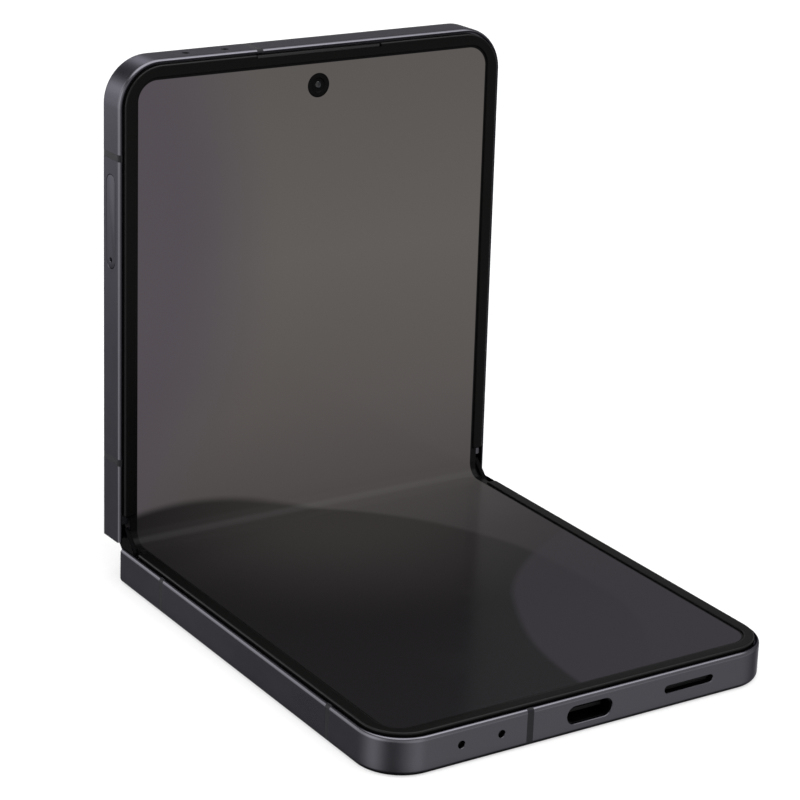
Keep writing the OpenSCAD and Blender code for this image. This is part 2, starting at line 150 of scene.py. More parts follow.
def mixc(nt, fac, a, b):
    n = nt.nodes.new("ShaderNodeMix")
    n.data_type = "RGBA"
    for sock, v in ((n.inputs[0], fac), (n.inputs[6], a), (n.inputs[7], b)):
        if isinstance(v, (int, float)):
            sock.default_value = v
        elif isinstance(v, (tuple, list)):
            sock.default_value = (*v[:3], 1.0)
        else:
            nt.links.new(v, sock)
    return n.outputs[2]


def surface(name, base, metallic=0.0, rough=0.4, spec=0.5, grain=9000.0, bump=0.08, depth=1.2e-5,
            rvar=0.05, cvar=0.06, patch=60.0, stretch=None, coat=0.0, coat_rough=0.1, smudge=0.0, edge=None):
    """A surface with fine grain, slow changes of gloss and colour, and a little wear."""
    m, nt, b = new_mat(name)
    tc = nt.nodes.new("ShaderNodeTexCoord").outputs["Object"]
    vec = tc
    if stretch:
        mp = nt.nodes.new("ShaderNodeMapping")
        mp.inputs["Scale"].default_value = stretch
        nt.links.new(tc, mp.inputs["Vector"])
        vec = mp.outputs[0]
    fine = noise(nt, vec, grain, 3.0, 0.6)
    slow = noise(nt, tc, patch, 4.0, 0.5, 0.4)
    mid = noise(nt, tc, patch * 9, 3.0, 0.55)
    r = ranged(nt, slow, 0.3, 0.7, rough - rvar, rough + rvar)
    r = math_node(nt, "ADD", r, ranged(nt, fine, 0.3, 0.7, -rvar * 0.5, rvar * 0.5))
    if smudge:
        r = math_node(nt, "ADD", r, ranged(nt, mid, 0.52, 0.72, 0.0, smudge, True))
    nt.links.new(r, b.inputs["Roughness"])
    t = math_node(nt, "MULTIPLY", ranged(nt, slow, 0.3, 0.7, 0.0, 1.0), ranged(nt, mid, 0.2, 0.8, 0.6, 1.0))
    nt.links.new(mixc(nt, t, [c * (1 - cvar) for c in base], [min(1, c * (1 + cvar)) for c in base]), b.inputs["Base Color"])
    b.inputs["Metallic"].default_value = metallic
    b.inputs["Specular IOR Level"].default_value = spec
    if edge is not None:
        b.inputs["Specular Tint"].default_value = (*edge, 1.0)
    if coat:
        b.inputs["Coat Weight"].default_value = coat
        b.inputs["Coat Roughness"].default_value = coat_rough
    bp = nt.nodes.new("ShaderNodeBump")
    bp.inputs["Strength"].default_value = bump
    bp.inputs["Distance"].default_value = depth
    nt.links.new(fine, bp.inputs["Height"])
    nt.links.new(bp.outputs[0], b.inputs["Normal"])
    return m


FRAME_RGB = (0.0590, 0.0577, 0.0662)
EDGE_RGB = (0.56, 0.555, 0.585)
M = {}
M["frame_metal"] = surface("frame_metal", FRAME_RGB, 1.0, 0.30, grain=15000, bump=0.10, depth=8e-6, rvar=0.03, cvar=0.04, patch=45, smudge=0.03, edge=EDGE_RGB)
M["chamfer_metal"] = surface("chamfer_metal", (0.088, 0.0865, 0.0985), 1.0, 0.20, grain=12000, bump=0.05, depth=5e-6, rvar=0.03, cvar=0.05, patch=80, edge=EDGE_RGB)
# bore_metal is a nearly black copy of the frame metal for the walls of openings and recesses; its darkness is painted
# shade
M["bore_metal"] = surface("bore_metal", (0.006, 0.006, 0.007), 1.0, 0.5, grain=9000, bump=0.1, depth=1e-5, rvar=0.06, cvar=0.1, edge=(0.1, 0.1, 0.11))
# rim_metal is a much darker copy of the frame metal; its darkness on the rim is painted shade
M["rim_metal"] = surface("rim_metal", (0.014, 0.0135, 0.017), 1.0, 0.34, grain=12000, bump=0.08, depth=6e-6, rvar=0.04, cvar=0.08, edge=(0.3, 0.3, 0.34))
M["antenna_plastic"] = surface("antenna_plastic", (0.0085, 0.0082, 0.0102), 0.0, 0.42, spec=0.10, grain=11000, bump=0.08, depth=8e-6, rvar=0.05, cvar=0.05)
M["back_glass"] = surface("back_glass", (0.030, 0.030, 0.036), 0.0, 0.34, spec=0.5, grain=20000, bump=0.12, depth=4e-6, rvar=0.03, cvar=0.03, patch=20, smudge=0.05)
M["bezel_plastic"] = surface("bezel_plastic", (0.0013, 0.00132, 0.00125), 0.0, 0.40, spec=0.045, grain=14000, bump=0.10, depth=8e-6, rvar=0.05, cvar=0.08, patch=60)
# bezel_edge is a lighter, glossier copy of the bezel plastic; its lighter base colour is a painted highlight along the
# bezel's outer rounding
M["bezel_edge"] = surface("bezel_edge", (0.0040, 0.0040, 0.0040), 0.0, 0.36, spec=0.10, grain=14000, bump=0.08, depth=6e-6, rvar=0.05, cvar=0.08, patch=60)
M["cap_plastic"] = surface("cap_plastic", (0.0009, 0.0009, 0.0012), 0.0, 0.42, spec=0.014, grain=12000, bump=0.10, depth=8e-6, rvar=0.05, cvar=0.08)
M["seal_foam"] = surface("seal_foam", (0.01, 0.01, 0.01), 0.0, 0.8, grain=5000, bump=0.4, depth=4e-5, rvar=0.08, cvar=0.15)
M["cover_oled"] = surface("cover_oled", (0.004, 0.004, 0.006), 0.0, 0.12, grain=9000, bump=0.03, rvar=0.03, cvar=0.05)
M["ring_metal"] = surface("ring_metal", (0.075, 0.074, 0.084), 1.0, 0.28, grain=16000, bump=0.10, depth=7e-6, rvar=0.04, cvar=0.04)
M["module_plastic"] = surface("module_plastic", (0.0014, 0.0014, 0.0015), 0.0, 0.42, spec=0.03, grain=8000, bump=0.12, rvar=0.06, cvar=0.1)
M["support_steel"] = surface("support_steel", (0.42, 0.42, 0.43), 1.0, 0.32, grain=5000, bump=0.1, stretch=(0.04, 1, 1), rvar=0.05)
M["spine_metal"] = surface("spine_metal", FRAME_RGB, 1.0, 0.30, grain=15000, bump=0.10, depth=8e-6, rvar=0.03, cvar=0.04, patch=45, edge=EDGE_RGB)
M["hinge_steel"] = surface("hinge_steel", (0.30, 0.30, 0.31), 1.0, 0.36, grain=7000, bump=0.25, depth=1.2e-5, rvar=0.07, cvar=0.1)
M["gear_steel"] = surface("gear_steel", (0.40, 0.38, 0.33), 1.0, 0.34, grain=8000, bump=0.2, rvar=0.07, cvar=0.08)
M["shaft_steel"] = surface("shaft_steel", (0.55, 0.55, 0.56), 1.0, 0.2, grain=9000, bump=0.06, stretch=(1, 0.1, 0.1), rvar=0.04)
M["spring_steel"] = surface("spring_steel", (0.42, 0.42, 0.42), 1.0, 0.3, grain=8000, bump=0.1, rvar=0.06)
M["flex_film"] = surface("flex_film", (0.16, 0.07, 0.018), 0.0, 0.3, grain=4000, bump=0.1, rvar=0.06, cvar=0.12)
M["screw_steel"] = surface("screw_steel", (0.5, 0.5, 0.5), 1.0, 0.28, grain=9000, bump=0.1, rvar=0.06)
M["battery_foil"] = surface("battery_foil", (0.02, 0.02, 0.022), 0.3, 0.36, grain=900, bump=0.2, depth=4e-5, rvar=0.08, cvar=0.1)
M["board_green"] = surface("board_green", (0.008, 0.045, 0.028), 0.0, 0.4, grain=2500, bump=0.3, depth=3e-5, rvar=0.08, cvar=0.25, patch=300)
M["can_metal"] = surface("can_metal", (0.45, 0.45, 0.46), 1.0, 0.34, grain=5000, bump=0.12, stretch=(0.1, 1, 1), rvar=0.06)
# port_steel is drawn nearly black: painted shade inside the port, the shell itself being bright steel
M["port_steel"] = surface("port_steel", (0.009, 0.009, 0.010), 1.0, 0.40, grain=6000, bump=0.1, stretch=(1, 0.1, 1), rvar=0.06)
M["port_plastic"] = surface("port_plastic", (0.0022, 0.0022, 0.0024), 0.0, 0.5, spec=0.08, grain=7000, bump=0.12, rvar=0.06, cvar=0.1)
M["speaker_plastic"] = surface("speaker_plastic", (0.008, 0.008, 0.009), 0.0, 0.5, spec=0.3, grain=7000, bump=0.15, rvar=0.06, cvar=0.1)
M["mic_metal"] = surface("mic_metal", (0.42, 0.36, 0.2), 1.0, 0.35, grain=8000, bump=0.1, rvar=0.06)
M["contact_gold"] = surface("contact_gold", (0.45, 0.33, 0.13), 1.0, 0.3, grain=8000, bump=0.08, rvar=0.06)
M["coil_copper"] = surface("coil_copper", (0.45, 0.2, 0.08), 1.0, 0.35, grain=3000, bump=0.3, depth=3e-5, rvar=0.06)
M["tray_metal"] = surface("tray_metal", FRAME_RGB, 1.0, 0.30, grain=15000, bump=0.10, depth=8e-6, rvar=0.03, cvar=0.04, patch=45, edge=EDGE_RGB)
M["key_metal"] = surface("key_metal", (0.063, 0.0616, 0.0705), 1.0, 0.28, grain=15000, bump=0.08, depth=8e-6, rvar=0.03, cvar=0.04, edge=EDGE_RGB)
M["switch_metal"] = surface("switch_metal", (0.42, 0.38, 0.24), 1.0, 0.35, grain=8000, bump=0.1, rvar=0.06)


def mesh_grille(name, base, pitch, hole):
    """Woven metal gauze behind an opening: round holes in rows, the holes drawn near-black as painted shade behind
    them.
    """
    m, nt, b = new_mat(name)
    tc = nt.nodes.new("ShaderNodeTexCoord").outputs["Object"]
    v = nt.nodes.new("ShaderNodeTexVoronoi")
    v.inputs["Scale"].default_value = 1.0 / pitch
    v.inputs["Randomness"].default_value = 0.0
    nt.links.new(tc, v.inputs["Vector"])
    mask = ranged(nt, v.outputs["Distance"], hole * 0.85, hole, 0.0, 1.0, True)
    # holes get near-black, wires the base colour: the holes' darkness is painted shade
    nt.links.new(mixc(nt, mask, (0.001, 0.001, 0.001), base), b.inputs["Base Color"])
    nt.links.new(ranged(nt, mask, 0, 1, 0.9, 0.4), b.inputs["Roughness"])
    b.inputs["Metallic"].default_value = 0.7
    bp = nt.nodes.new("ShaderNodeBump")
    bp.inputs["Strength"].default_value = 0.6
    bp.inputs["Distance"].default_value = 6e-5
    nt.links.new(mask, bp.inputs["Height"])
    nt.links.new(bp.outputs[0], b.inputs["Normal"])
    return m


M["gauze"] = mesh_grille("gauze", (0.012, 0.012, 0.013), 0.00028, 0.36)


def lens_material(name, dark, painted_sheen, spec, coat):
    """Coated front element: nearly black glass whose coating sheen is painted into the base colour, a painted
    reflection that grows towards grazing angles.
    """
    m, nt, b = new_mat(name)
    tc = nt.nodes.new("ShaderNodeTexCoord").outputs["Object"]
    lw = nt.nodes.new("ShaderNodeLayerWeight")
    lw.inputs["Blend"].default_value = 0.35
    n = noise(nt, tc, 3000, 2.0)
    # base colour turns from dark to the painted sheen colour towards grazing angles: painted reflection
    nt.links.new(mixc(nt, ranged(nt, lw.outputs["Facing"], 0.0, 0.6, 0.0, 1.0, True), dark, painted_sheen), b.inputs["Base Color"])
    nt.links.new(ranged(nt, n, 0.3, 0.7, 0.04, 0.09), b.inputs["Roughness"])
    b.inputs["Specular IOR Level"].default_value = spec
    b.inputs["Coat Weight"].default_value = coat
    b.inputs["Coat Roughness"].default_value = 0.04
    return m


# the third colour of each lens is its painted sheen
M["lens_glass"] = lens_material("lens_glass", (0.0015, 0.0015, 0.003), (0.008, 0.007, 0.030), 0.35, 0.3)
M["lens_small"] = lens_material("lens_small", (0.0010, 0.0010, 0.0016), (0.003, 0.004, 0.008), 0.30, 0.0)


def cover_glass_material():
    """Polished back glass, printed black from inside, with the dim edge of the cover screen and slight smears."""
    m, nt, b = new_mat("cover_glass")
    tc = nt.nodes.new("ShaderNodeTexCoord").outputs["Object"]
    sm = noise(nt, tc, 35, 5.0, 0.6, 1.2)
    fine = noise(nt, tc, 4000, 2.0)
    nt.links.new(math_node(nt, "ADD", ranged(nt, sm, 0.45, 0.75, 0.05, 0.16, True), ranged(nt, fine, 0.3, 0.7, -0.01, 0.01)), b.inputs["Roughness"])
    uv = nt.nodes.new("ShaderNodeUVMap").outputs[0]
    sep = nt.nodes.new("ShaderNodeSeparateXYZ")
    nt.links.new(uv, sep.inputs[0])
    d = sdf_box(nt, sep.outputs[0], sep.outputs[1], 0.0, 0.46, 0.348, 0.372, 0.06)
    inside = ranged(nt, d, -0.0015, 0.0015, 1.0, 0.0, True)
    nt.links.new(mixc(nt, inside, (0.0045, 0.0045, 0.0058), (0.0022, 0.0022, 0.0026)), b.inputs["Base Color"])
    b.inputs["Specular IOR Level"].default_value = 0.5
    return m


def sdf_box(nt, x, y, cx, cy, hx, hy, r):
    """Signed distance to a rounded rectangle."""
    qx = math_node(nt, "SUBTRACT", math_node(nt, "ABSOLUTE", math_node(nt, "SUBTRACT", x, cx)), hx - r)
    qy = math_node(nt, "SUBTRACT", math_node(nt, "ABSOLUTE", math_node(nt, "SUBTRACT", y, cy)), hy - r)
    px, py = math_node(nt, "MAXIMUM", qx, 0.0), math_node(nt, "MAXIMUM", qy, 0.0)
    out = math_node(nt, "SQRT", math_node(nt, "ADD", math_node(nt, "MULTIPLY", px, px), math_node(nt, "MULTIPLY", py, py)))
    ins = math_node(nt, "MINIMUM", math_node(nt, "MAXIMUM", qx, qy), 0.0)
    return math_node(nt, "SUBTRACT", math_node(nt, "ADD", out, ins), r)


def disc_mask(nt, x, y, cx, cy, r, soft):
    """1 inside a disc, falling to 0 over soft outside its rim."""
    dx, dy = math_node(nt, "SUBTRACT", x, cx), math_node(nt, "SUBTRACT", y, cy)
    d = math_node(nt, "SQRT", math_node(nt, "ADD", math_node(nt, "MULTIPLY", dx, dx), math_node(nt, "MULTIPLY", dy, dy)))
    return ranged(nt, d, r - soft / 2, r + soft / 2, 1.0, 0.0, True)


def display_material():
    """Lit panel under glossy film. UV holds the flat place on the panel in decimetres, v positive in the upper half.
    The picture is broad soft arcs in taupe and plum."""
    m, nt, b = new_mat("display_film")
    uv = nt.nodes.new("ShaderNodeUVMap").outputs[0]
    sep = nt.nodes.new("ShaderNodeSeparateXYZ")
    nt.links.new(uv, sep.inputs[0])
    x, t = sep.outputs[0], sep.outputs[1]
    # slow base tone along the panel
    ramp = nt.nodes.new("ShaderNodeValToRGB")
    nt.links.new(ranged(nt, t, -0.84, 0.84, 0.0, 1.0), ramp.inputs[0])
    stops = [(0.0, (0.0155, 0.0140, 0.0165)), (0.20, (0.0175, 0.0155, 0.0180)), (0.36, (0.0240, 0.0215, 0.0235)),
             (0.47, (0.0420, 0.0380, 0.0390)), (0.53, (0.0720, 0.0650, 0.0640)), (0.62, (0.0980, 0.0880, 0.0840)),
             (0.78, (0.1130, 0.1030, 0.0970)), (1.0, (0.0980, 0.0890, 0.0850))]
    el = ramp.color_ramp.elements
    el[0].position, el[0].color = stops[0][0], (*stops[0][1], 1)
    el[1].position, el[1].color = stops[-1][0], (*stops[-1][1], 1)
    for p, c in stops[1:-1]:
        e = el.new(p)
        e.color = (*c, 1)
    col = ramp.outputs[0]
    warp = noise(nt, uv, 1.3, 2.0, 0.4)
    xw = math_node(nt, "ADD", x, ranged(nt, warp, 0.3, 0.7, -0.03, 0.03))
    # broad arcs
    plum_up = disc_mask(nt, xw, t, -0.95, 0.52, 0.78, 0.22)
    col = mixc(nt, math_node(nt, "MULTIPLY", plum_up, 0.85), col, (0.0790, 0.0670, 0.0810))
    shade = math_node(nt, "MULTIPLY", disc_mask(nt, xw, t, -0.26, -0.47, 0.53, 0.018), ranged(nt, t, -0.84, 0.05, 0.42, 0.93))
    col = mixc(nt, shade, col, (0.0012, 0.0012, 0.0014))
    glow = math_node(nt, "MULTIPLY", disc_mask(nt, xw, t, 0.05, -0.02, 0.30, 0.44), 0.30)
    col = mixc(nt, glow, col, (0.0880, 0.0780, 0.0760))
    plum_low = disc_mask(nt, xw, t, 0.62, -0.86, 0.62, 0.016)
    col = mixc(nt, math_node(nt, "MULTIPLY", plum_low, ranged(nt, t, -0.84, -0.2, 0.80, 0.45)), col, (0.0330, 0.0290, 0.0375))
    arc = math_node(nt, "MULTIPLY", disc_mask(nt, xw, t, 0.90, -0.30, 0.52, 0.30), 0.35)
    col = mixc(nt, arc, col, (0.0330, 0.0290, 0.0330))
    # faint sub-pixel weave, and the dark border of the lit area
    wv = nt.nodes.new("ShaderNodeTexWave")
    wv.inputs["Scale"].default_value = 90.0
    nt.links.new(uv, wv.inputs["Vector"])
    col = mixc(nt, ranged(nt, wv.outputs["Fac"], 0, 1, 0.0, 0.02), col, (0.0, 0.0, 0.0))
    edge = sdf_box(nt, x, t, 0.0, 0.0, (HW - LIT) / 100, (HL - LIT) / 100, LIT_R / 100)
    dark = ranged(nt, edge, -0.0006, 0.0006, 0.0, 1.0, True)
    ddx, ddy = x, math_node(nt, "SUBTRACT", t, FRONT_S / 100)
    dd = math_node(nt, "SQRT", math_node(nt, "ADD", math_node(nt, "MULTIPLY", ddx, ddx), math_node(nt, "MULTIPLY", ddy, ddy)))
    dark = math_node(nt, "MAXIMUM", dark, ranged(nt, dd, (PUNCH_R + 0.02) / 100, (PUNCH_R + 0.12) / 100, 1.0, 0.0, True))
    col = mixc(nt, dark, col, (0.0004, 0.0004, 0.0005))
    nt.links.new(col, b.inputs["Emission Color"])
    b.inputs["Emission Strength"].default_value = 1.0
    b.inputs["Base Color"].default_value = (0.002, 0.002, 0.002, 1)
    sm = noise(nt, uv, 6.0, 5.0, 0.6, 1.5)
    nt.links.new(ranged(nt, sm, 0.42, 0.72, 0.16, 0.26, True), b.inputs["Roughness"])
    b.inputs["Specular IOR Level"].default_value = 0.03
    bp = nt.nodes.new("ShaderNodeBump")
    bp.inputs["Strength"].default_value = 0.05
    bp.inputs["Distance"].default_value = 1e-5
    nt.links.new(noise(nt, uv, 140.0, 2.0), bp.inputs["Height"])
    nt.links.new(bp.outputs[0], b.inputs["Normal"])
    return m


M["cover_glass"] = cover_glass_material()
M["display_film"] = display_material()


def flash_material():
    m, nt, b = new_mat("flash_plastic")
    tc = nt.nodes.new("ShaderNodeTexCoord").outputs["Object"]
    n = noise(nt, tc, 2500, 3.0)
    nt.links.new(mixc(nt, ranged(nt, n, 0.3, 0.7, 0, 1), (0.80, 0.74, 0.50), (0.62, 0.52, 0.24)), b.inputs["Base Color"])
    nt.links.new(ranged(nt, n, 0.3, 0.7, 0.12, 0.25), b.inputs["Roughness"])
    b.inputs["Subsurface Weight"].default_value = 0.2
    b.inputs["Subsurface Radius"].default_value = (0.0005, 0.0005, 0.0004)
    b.inputs["Subsurface Scale"].default_value = 1.0
    return m


M["flash_plastic"] = flash_material()

for o in N.values():
    o.data.materials.clear()
for row in frame["record"]["subparts"]:
    if row["node"] in N:
        N[row["node"]].data.materials.append(M[row["material_slot"]])


# ------------------------------------------------------------------ mesh tools
def make(name, V, F, place, mats, fm=None, angle=38.0, uv=None, weld=True):
    """A closed mesh from local points. place turns them into the row frame."""
    me = bpy.data.meshes.new(name)
    me.from_pydata([tuple(p) for p in place(V)], [], [tuple(int(i) for i in f) for f in F])
    for m in mats:
        me.materials.append(m)
    if fm is not None:
        me.polygons.foreach_set("material_index", np.asarray(fm, np.int32))
    if uv is not None:
        layer = me.uv_layers.new(name="flat")
        idx = np.empty(len(me.loops), np.int32)
        me.loops.foreach_get("vertex_index", idx)
        layer.data.foreach_set("uv", np.asarray(uv, np.float32)[idx].ravel())
    bm = bmesh.new()
    bm.from_mesh(me)
    if weld:
        bmesh.ops.remove_doubles(bm, verts=bm.verts, dist=2e-7)
    bmesh.ops.recalc_face_normals(bm, faces=bm.faces)
    bm.to_mesh(me)
    bm.free()
    shade(me, angle)
    o = bpy.data.objects.new(name, me)
    bpy.context.scene.collection.objects.link(o)
    return o


def shade(me, angle=38.0):
    me.polygons.foreach_set("use_smooth", np.ones(len(me.polygons), bool))
    me.set_sharp_from_angle(angle=math.radians(angle))
    me.update()


def join_data(parts):
    """Joins (V, F, fm) triples into one."""
    V, F, G, n = [], [], [], 0
    for v, f, g in parts:
        v = np.asarray(v, float).reshape(-1, 3)
        V.append(v)
        F += [tuple(i + n for i in q) for q in f]
        G += list(g)
        n += len(v)
    return np.concatenate(V), F, G


def cut(o, cutter, op="DIFFERENCE", angle=38.0):
    md = o.modifiers.new("cut", "BOOLEAN")
    md.operation, md.object, md.solver = op, cutter, "EXACT"
    dg = bpy.context.evaluated_depsgraph_get()
    me = bpy.data.meshes.new_from_object(o.evaluated_get(dg))
    o.modifiers.clear()
    old = o.data
    o.data = me
    bpy.data.meshes.remove(old)
    old = cutter.data
    bpy.data.objects.remove(cutter)
    bpy.data.meshes.remove(old)
    shade(me, angle)


def pill(L, H, n=10):
    """Outline of a slot, L long and H high."""
    r = H / 2
    c = (L - H) / 2
    a = [-math.pi / 2 + math.pi * i / n for i in range(n + 1)]
    b = [math.pi / 2 + math.pi * i / n for i in range(n + 1)]
    if c < 1e-9:
        a, b = a[:-1], b[:-1]
    return [(c + r * math.cos(t), r * math.sin(t)) for t in a] + [(-c + r * math.cos(t), r * math.sin(t)) for t in b]


def stack(outlines, depths, caps=True):
    """Lofts 2D outlines with equal point counts over depths. Returns points (a, b, depth) and faces."""
    k = len(outlines[0])
    V = [(p[0], p[1], d) for o, d in zip(outlines, depths) for p in o]
    F = []
    for j in range(len(outlines) - 1):
        for i in range(k):
            F.append((j * k + i, j * k + (i + 1) % k, (j + 1) * k + (i + 1) % k, (j + 1) * k + i))
    if caps:
        F.append(tuple(range(k)))
        F.append(tuple((len(outlines) - 1) * k + i for i in range(k)))
    return np.array(V, float), F


def pills(L, H, levels, n=10):
    """levels: (growth, depth) pairs."""
    return stack([pill(L + 2 * g, H + 2 * g, n) for g, d in levels], [d for g, d in levels])


def lathe(profile, n=72):
    """Turns (r, h) points round an axis. Points with r 0 become one point. Returns points (a, b, h) and faces."""
    V, rings = [], []
    for r, h in profile:
        if r < 1e-9:
            rings.append([len(V)])
            V.append((0, 0, h))
        else:
            rings.append(list(range(len(V), len(V) + n)))
            V += [(r * math.cos(2 * math.pi * i / n), r * math.sin(2 * math.pi * i / n), h) for i in range(n)]
    F = []
    for a, b in zip(rings, rings[1:]):
        for i in range(n):
            j = (i + 1) % n
            if len(a) == 1 and len(b) == 1:
                continue
            if len(a) == 1:
                F.append((a[0], b[j], b[i]))
            elif len(b) == 1:
                F.append((a[i], a[j], b[0]))
            else:
                F.append((a[i], a[j], b[j], b[i]))
    return np.array(V, float), F


def ring_lathe(profile, n=72):
    """A closed profile turned round an axis that it doesn't touch."""
    V, F = [], []
    k = len(profile)
    for i in range(n):
        c, s = math.cos(2 * math.pi * i / n), math.sin(2 * math.pi * i / n)
        V += [(r * c, r * s, h) for r, h in profile]
    for i in range(n):
        for j in range(k):
            a, b = i * k + j, i * k + (j + 1) % k
            c, d = ((i + 1) % n) * k + (j + 1) % k, ((i + 1) % n) * k + j
            F.append((a, b, c, d))
    return np.array(V, float), F


def rbox(x0, x1, y0, y1, z0, z1, r, seg=3):
    """A block with rounded edges, as points and faces."""
    bm = bmesh.new()
    bmesh.ops.create_cube(bm, size=1.0)
    for v in bm.verts:
        v.co = Vector((x0 + (v.co.x + 0.5) * (x1 - x0), y0 + (v.co.y + 0.5) * (y1 - y0), z0 + (v.co.z + 0.5) * (z1 - z0)))
    if r > 0:
        bmesh.ops.bevel(bm, geom=list(bm.edges), offset=r, segments=seg, profile=0.5, affect="EDGES")
    bm.verts.index_update()
    V = np.array([v.co[:] for v in bm.verts])
    F = [tuple(v.index for v in f.verts) for f in bm.faces]
    bm.free()
    return V, F


def along_x(cx, s, v, sign=1):
    """Places (a, b, depth): a along s, b along v, depth outward along x from cx."""
    return lambda P: np.stack([cx + sign * P[:, 2], s + P[:, 0], v + P[:, 1]], 1)


def along_s(x, cs, v):
    """Places (a, b, depth): a along x, b along v, depth outward along s from cs."""
    return lambda P: np.stack([x + P[:, 0], cs + P[:, 2], v + P[:, 1]], 1)


def along_v(x, s, cv, sign=1):
    """Places (a, b, depth): a along x, b along s, depth along v from cv."""
    return lambda P: np.stack([x + P[:, 0], s + P[:, 1], cv + sign * P[:, 2]], 1)


# ------------------------------------------------------------------ frames
def path_point(st, ins, q, s0):
    x1, s1 = HW - ins, HL - ins
    k, a = st
    sgn = -1 if k[0] == "L" or k == "CL" else 1
    if k in ("L", "R"):
        return sgn * x1, max(a, s0)
    if k in ("LF", "RF"):
        return sgn * x1, s0 + (s1 - q - s0) * a
    if k in ("LE", "RE"):
        return sgn * x1, s0 + a
    if k in ("CL", "CR"):
        a = math.radians(a)
        return sgn * (x1 - q + q * math.cos(a)), s1 - q + q * math.sin(a)
    return a, s1


def hinge_end(v):
    """Where a side wall ends at the hinge, as s, for a height v."""
    if v < VB + 0.6:
        return WALL_S + 0.6 - math.sqrt(max(0.36 - (VB + 0.6 - v) ** 2, 0.0))
    if v > -0.9:
        return WALL_S + 0.25 * (v + 0.9)
    return WALL_S


OUTER = [(1.0 - math.sin(math.radians(a)), VB + 1 - math.cos(math.radians(a))) for a in range(0, 91, 10)]
OUTER += [(0.0, v) for v in (-4.6, -3.6, -2.8, -2.0, -1.4, -1.1)]
CH0 = len(OUTER)
# rounded shoulder up to the rim
OUTER += [(0.50 * (1 - math.cos(math.radians(a))), -0.95 + 0.66 * math.sin(math.radians(a))) for a in (0, 9, 18, 27, 35, 43, 50, 57, 64, 71, 78, 84, 90)]
# the upper shoulder, the rim's top and its inner wall take the darker rim metal: painted shade
RIM0 = len(OUTER) - 4
OUTER += [(0.56, -0.295), (0.60, -0.33)]
INNER = [(0.615, -0.45), (0.615, -0.80), (1.9, -0.80), (1.9, -1.2), (1.9, -2.2), (1.9, -3.4), (1.9, VB + 0.6), (1.06, VB + 0.6), (1.04, VB + 0.06)]


def chain_cap(A, B, va, vb):
    """Triangles between two chains that both run upwards."""
    F, i, j = [], 0, 0
    while i < len(A) - 1 or j < len(B) - 1:
        if j == len(B) - 1 or (i < len(A) - 1 and va[i + 1] <= vb[j + 1]):
            F.append((A[i], A[i + 1], B[j]))
            i += 1
        else:
            F.append((A[i], B[j + 1], B[j]))
            j += 1
    return F


def frame_segment(stations, off, band):
    ring = [(i + off, v) for i, v in OUTER] + list(INNER)
    k = len(ring)
    V, F, G = [], [], []
    for st in stations:
        for ins, v in ring:
            x, s = path_point(st, ins, max(CR - ins, 0.4), hinge_end(v))
            V.append((x, s, v))
    for i in range(len(stations) - 1):
        for j in range(k):
            F.append((i * k + j, i * k + (j + 1) % k, (i + 1) * k + (j + 1) % k, (i + 1) * k + j))
            # shoulder faces take the chamfer metal; the upper shoulder, the rim and its inner wall take the darker rim
            # metal, painted shade
            G.append(0 if band or not CH0 <= j < len(OUTER) + 1 else (1 if j < RIM0 else 2))
    no = len(OUTER)
    ia = list(range(no))
    ib = list(range(k - 1, no - 1, -1))
    va = [ring[j][1] for j in ia]
    vb = [ring[j][1] for j in ib]
    for e in (0, len(stations) - 1):
        f = chain_cap([e * k + j for j in ia], [e * k + j for j in ib], va, vb)
        F += f
        G += [0] * len(f)
    return V, F, G


def span(a, b, n):
    return [a + (b - a) * i / n for i in range(n + 1)]


h = BAND_W / 2
SIDE = [[0.0, 1.5, 2.4, 4.0] + span(8, BANDS[0] - h, 2), [BANDS[0] - h, BANDS[0] + h], [BANDS[0] + h] + span(24, BANDS[1] - h, 5), [BANDS[1] - h, BANDS[1] + h]]
CORNER = [("C", a) for a in span(0, 90, 18)]


def frame_stations():
    segs = []
    for part in SIDE:
        segs.append([("L", s) for s in part])
    tail = [("L", BANDS[1] + h), ("L", 71.5)] + [("CL", a) for _, a in CORNER]
    tail += [("E", x) for x in span(-25, BAND_X - h, 3)]
    segs.append(tail)
    segs.append([("E", BAND_X - h), ("E", BAND_X + h)])
    tail = [("E", x) for x in span(BAND_X + h, 27, 8)] + [("CR", 90 - a) for _, a in CORNER] + [("R", 71.5), ("R", BANDS[1] + h)]
    segs.append(tail)
    for part in SIDE[::-1]:
        segs.append([("R", s) for s in part[::-1]])
    return segs


def hinge_bar():
    """The bar along the hinge side of a half, with the hollow that the spine turns in."""
    pts = [(6.3, VB + 0.6), (6.5, VB + 0.6), (6.5, VB)]
    pts += [(WALL_S + 0.6 * (1 - math.sin(math.radians(a))), VB + 0.6 * (1 - math.cos(math.radians(a)))) for a in range(0, 91, 10)]
    a0 = -math.pi / 2
    a1 = math.asin((-2.85 - AV) / 3.95)
    pts += [(WALL_S, AV - 3.95)]
    pts += [(AX + 3.95 * math.cos(a0 + (a1 - a0) * i / 14), AV + 3.95 * math.sin(a0 + (a1 - a0) * i / 14)) for i in range(15)]
    pts += [(6.3, -2.85)]
    k = len(pts)
    V = [(x, s, v) for x in (1.9 - HW, HW - 1.9) for s, v in pts]
    F = [(i, (i + 1) % k, k + (i + 1) % k, k + i) for i in range(k)]
    F += [tuple(range(k)), tuple(range(k, 2 * k))]
    parts = [(V, F, [0] * len(F))]
    # the bar's back face runs on to the side walls, past the end of the glass seat
    pts = [(WALL_S, VB + 0.62), (6.5, VB + 0.62), (6.5, VB)]
    pts += [(WALL_S + 0.6 * (1 - math.sin(math.radians(a))), VB + 0.6 * (1 - math.cos(math.radians(a)))) for a in range(0, 91, 10)]
    k = len(pts)
    for sg in (-1, 1):
        V = [(sg * x, s, v) for x in (HW - 1.92, HW - 1.04) for s, v in pts]
        F = [(i, (i + 1) % k, k + (i + 1) % k, k + i) for i in range(k)]
        F += [tuple(range(k)), tuple(range(k, 2 * k))]
        parts.append((V, F, [0] * len(F)))
    return join_data(parts)


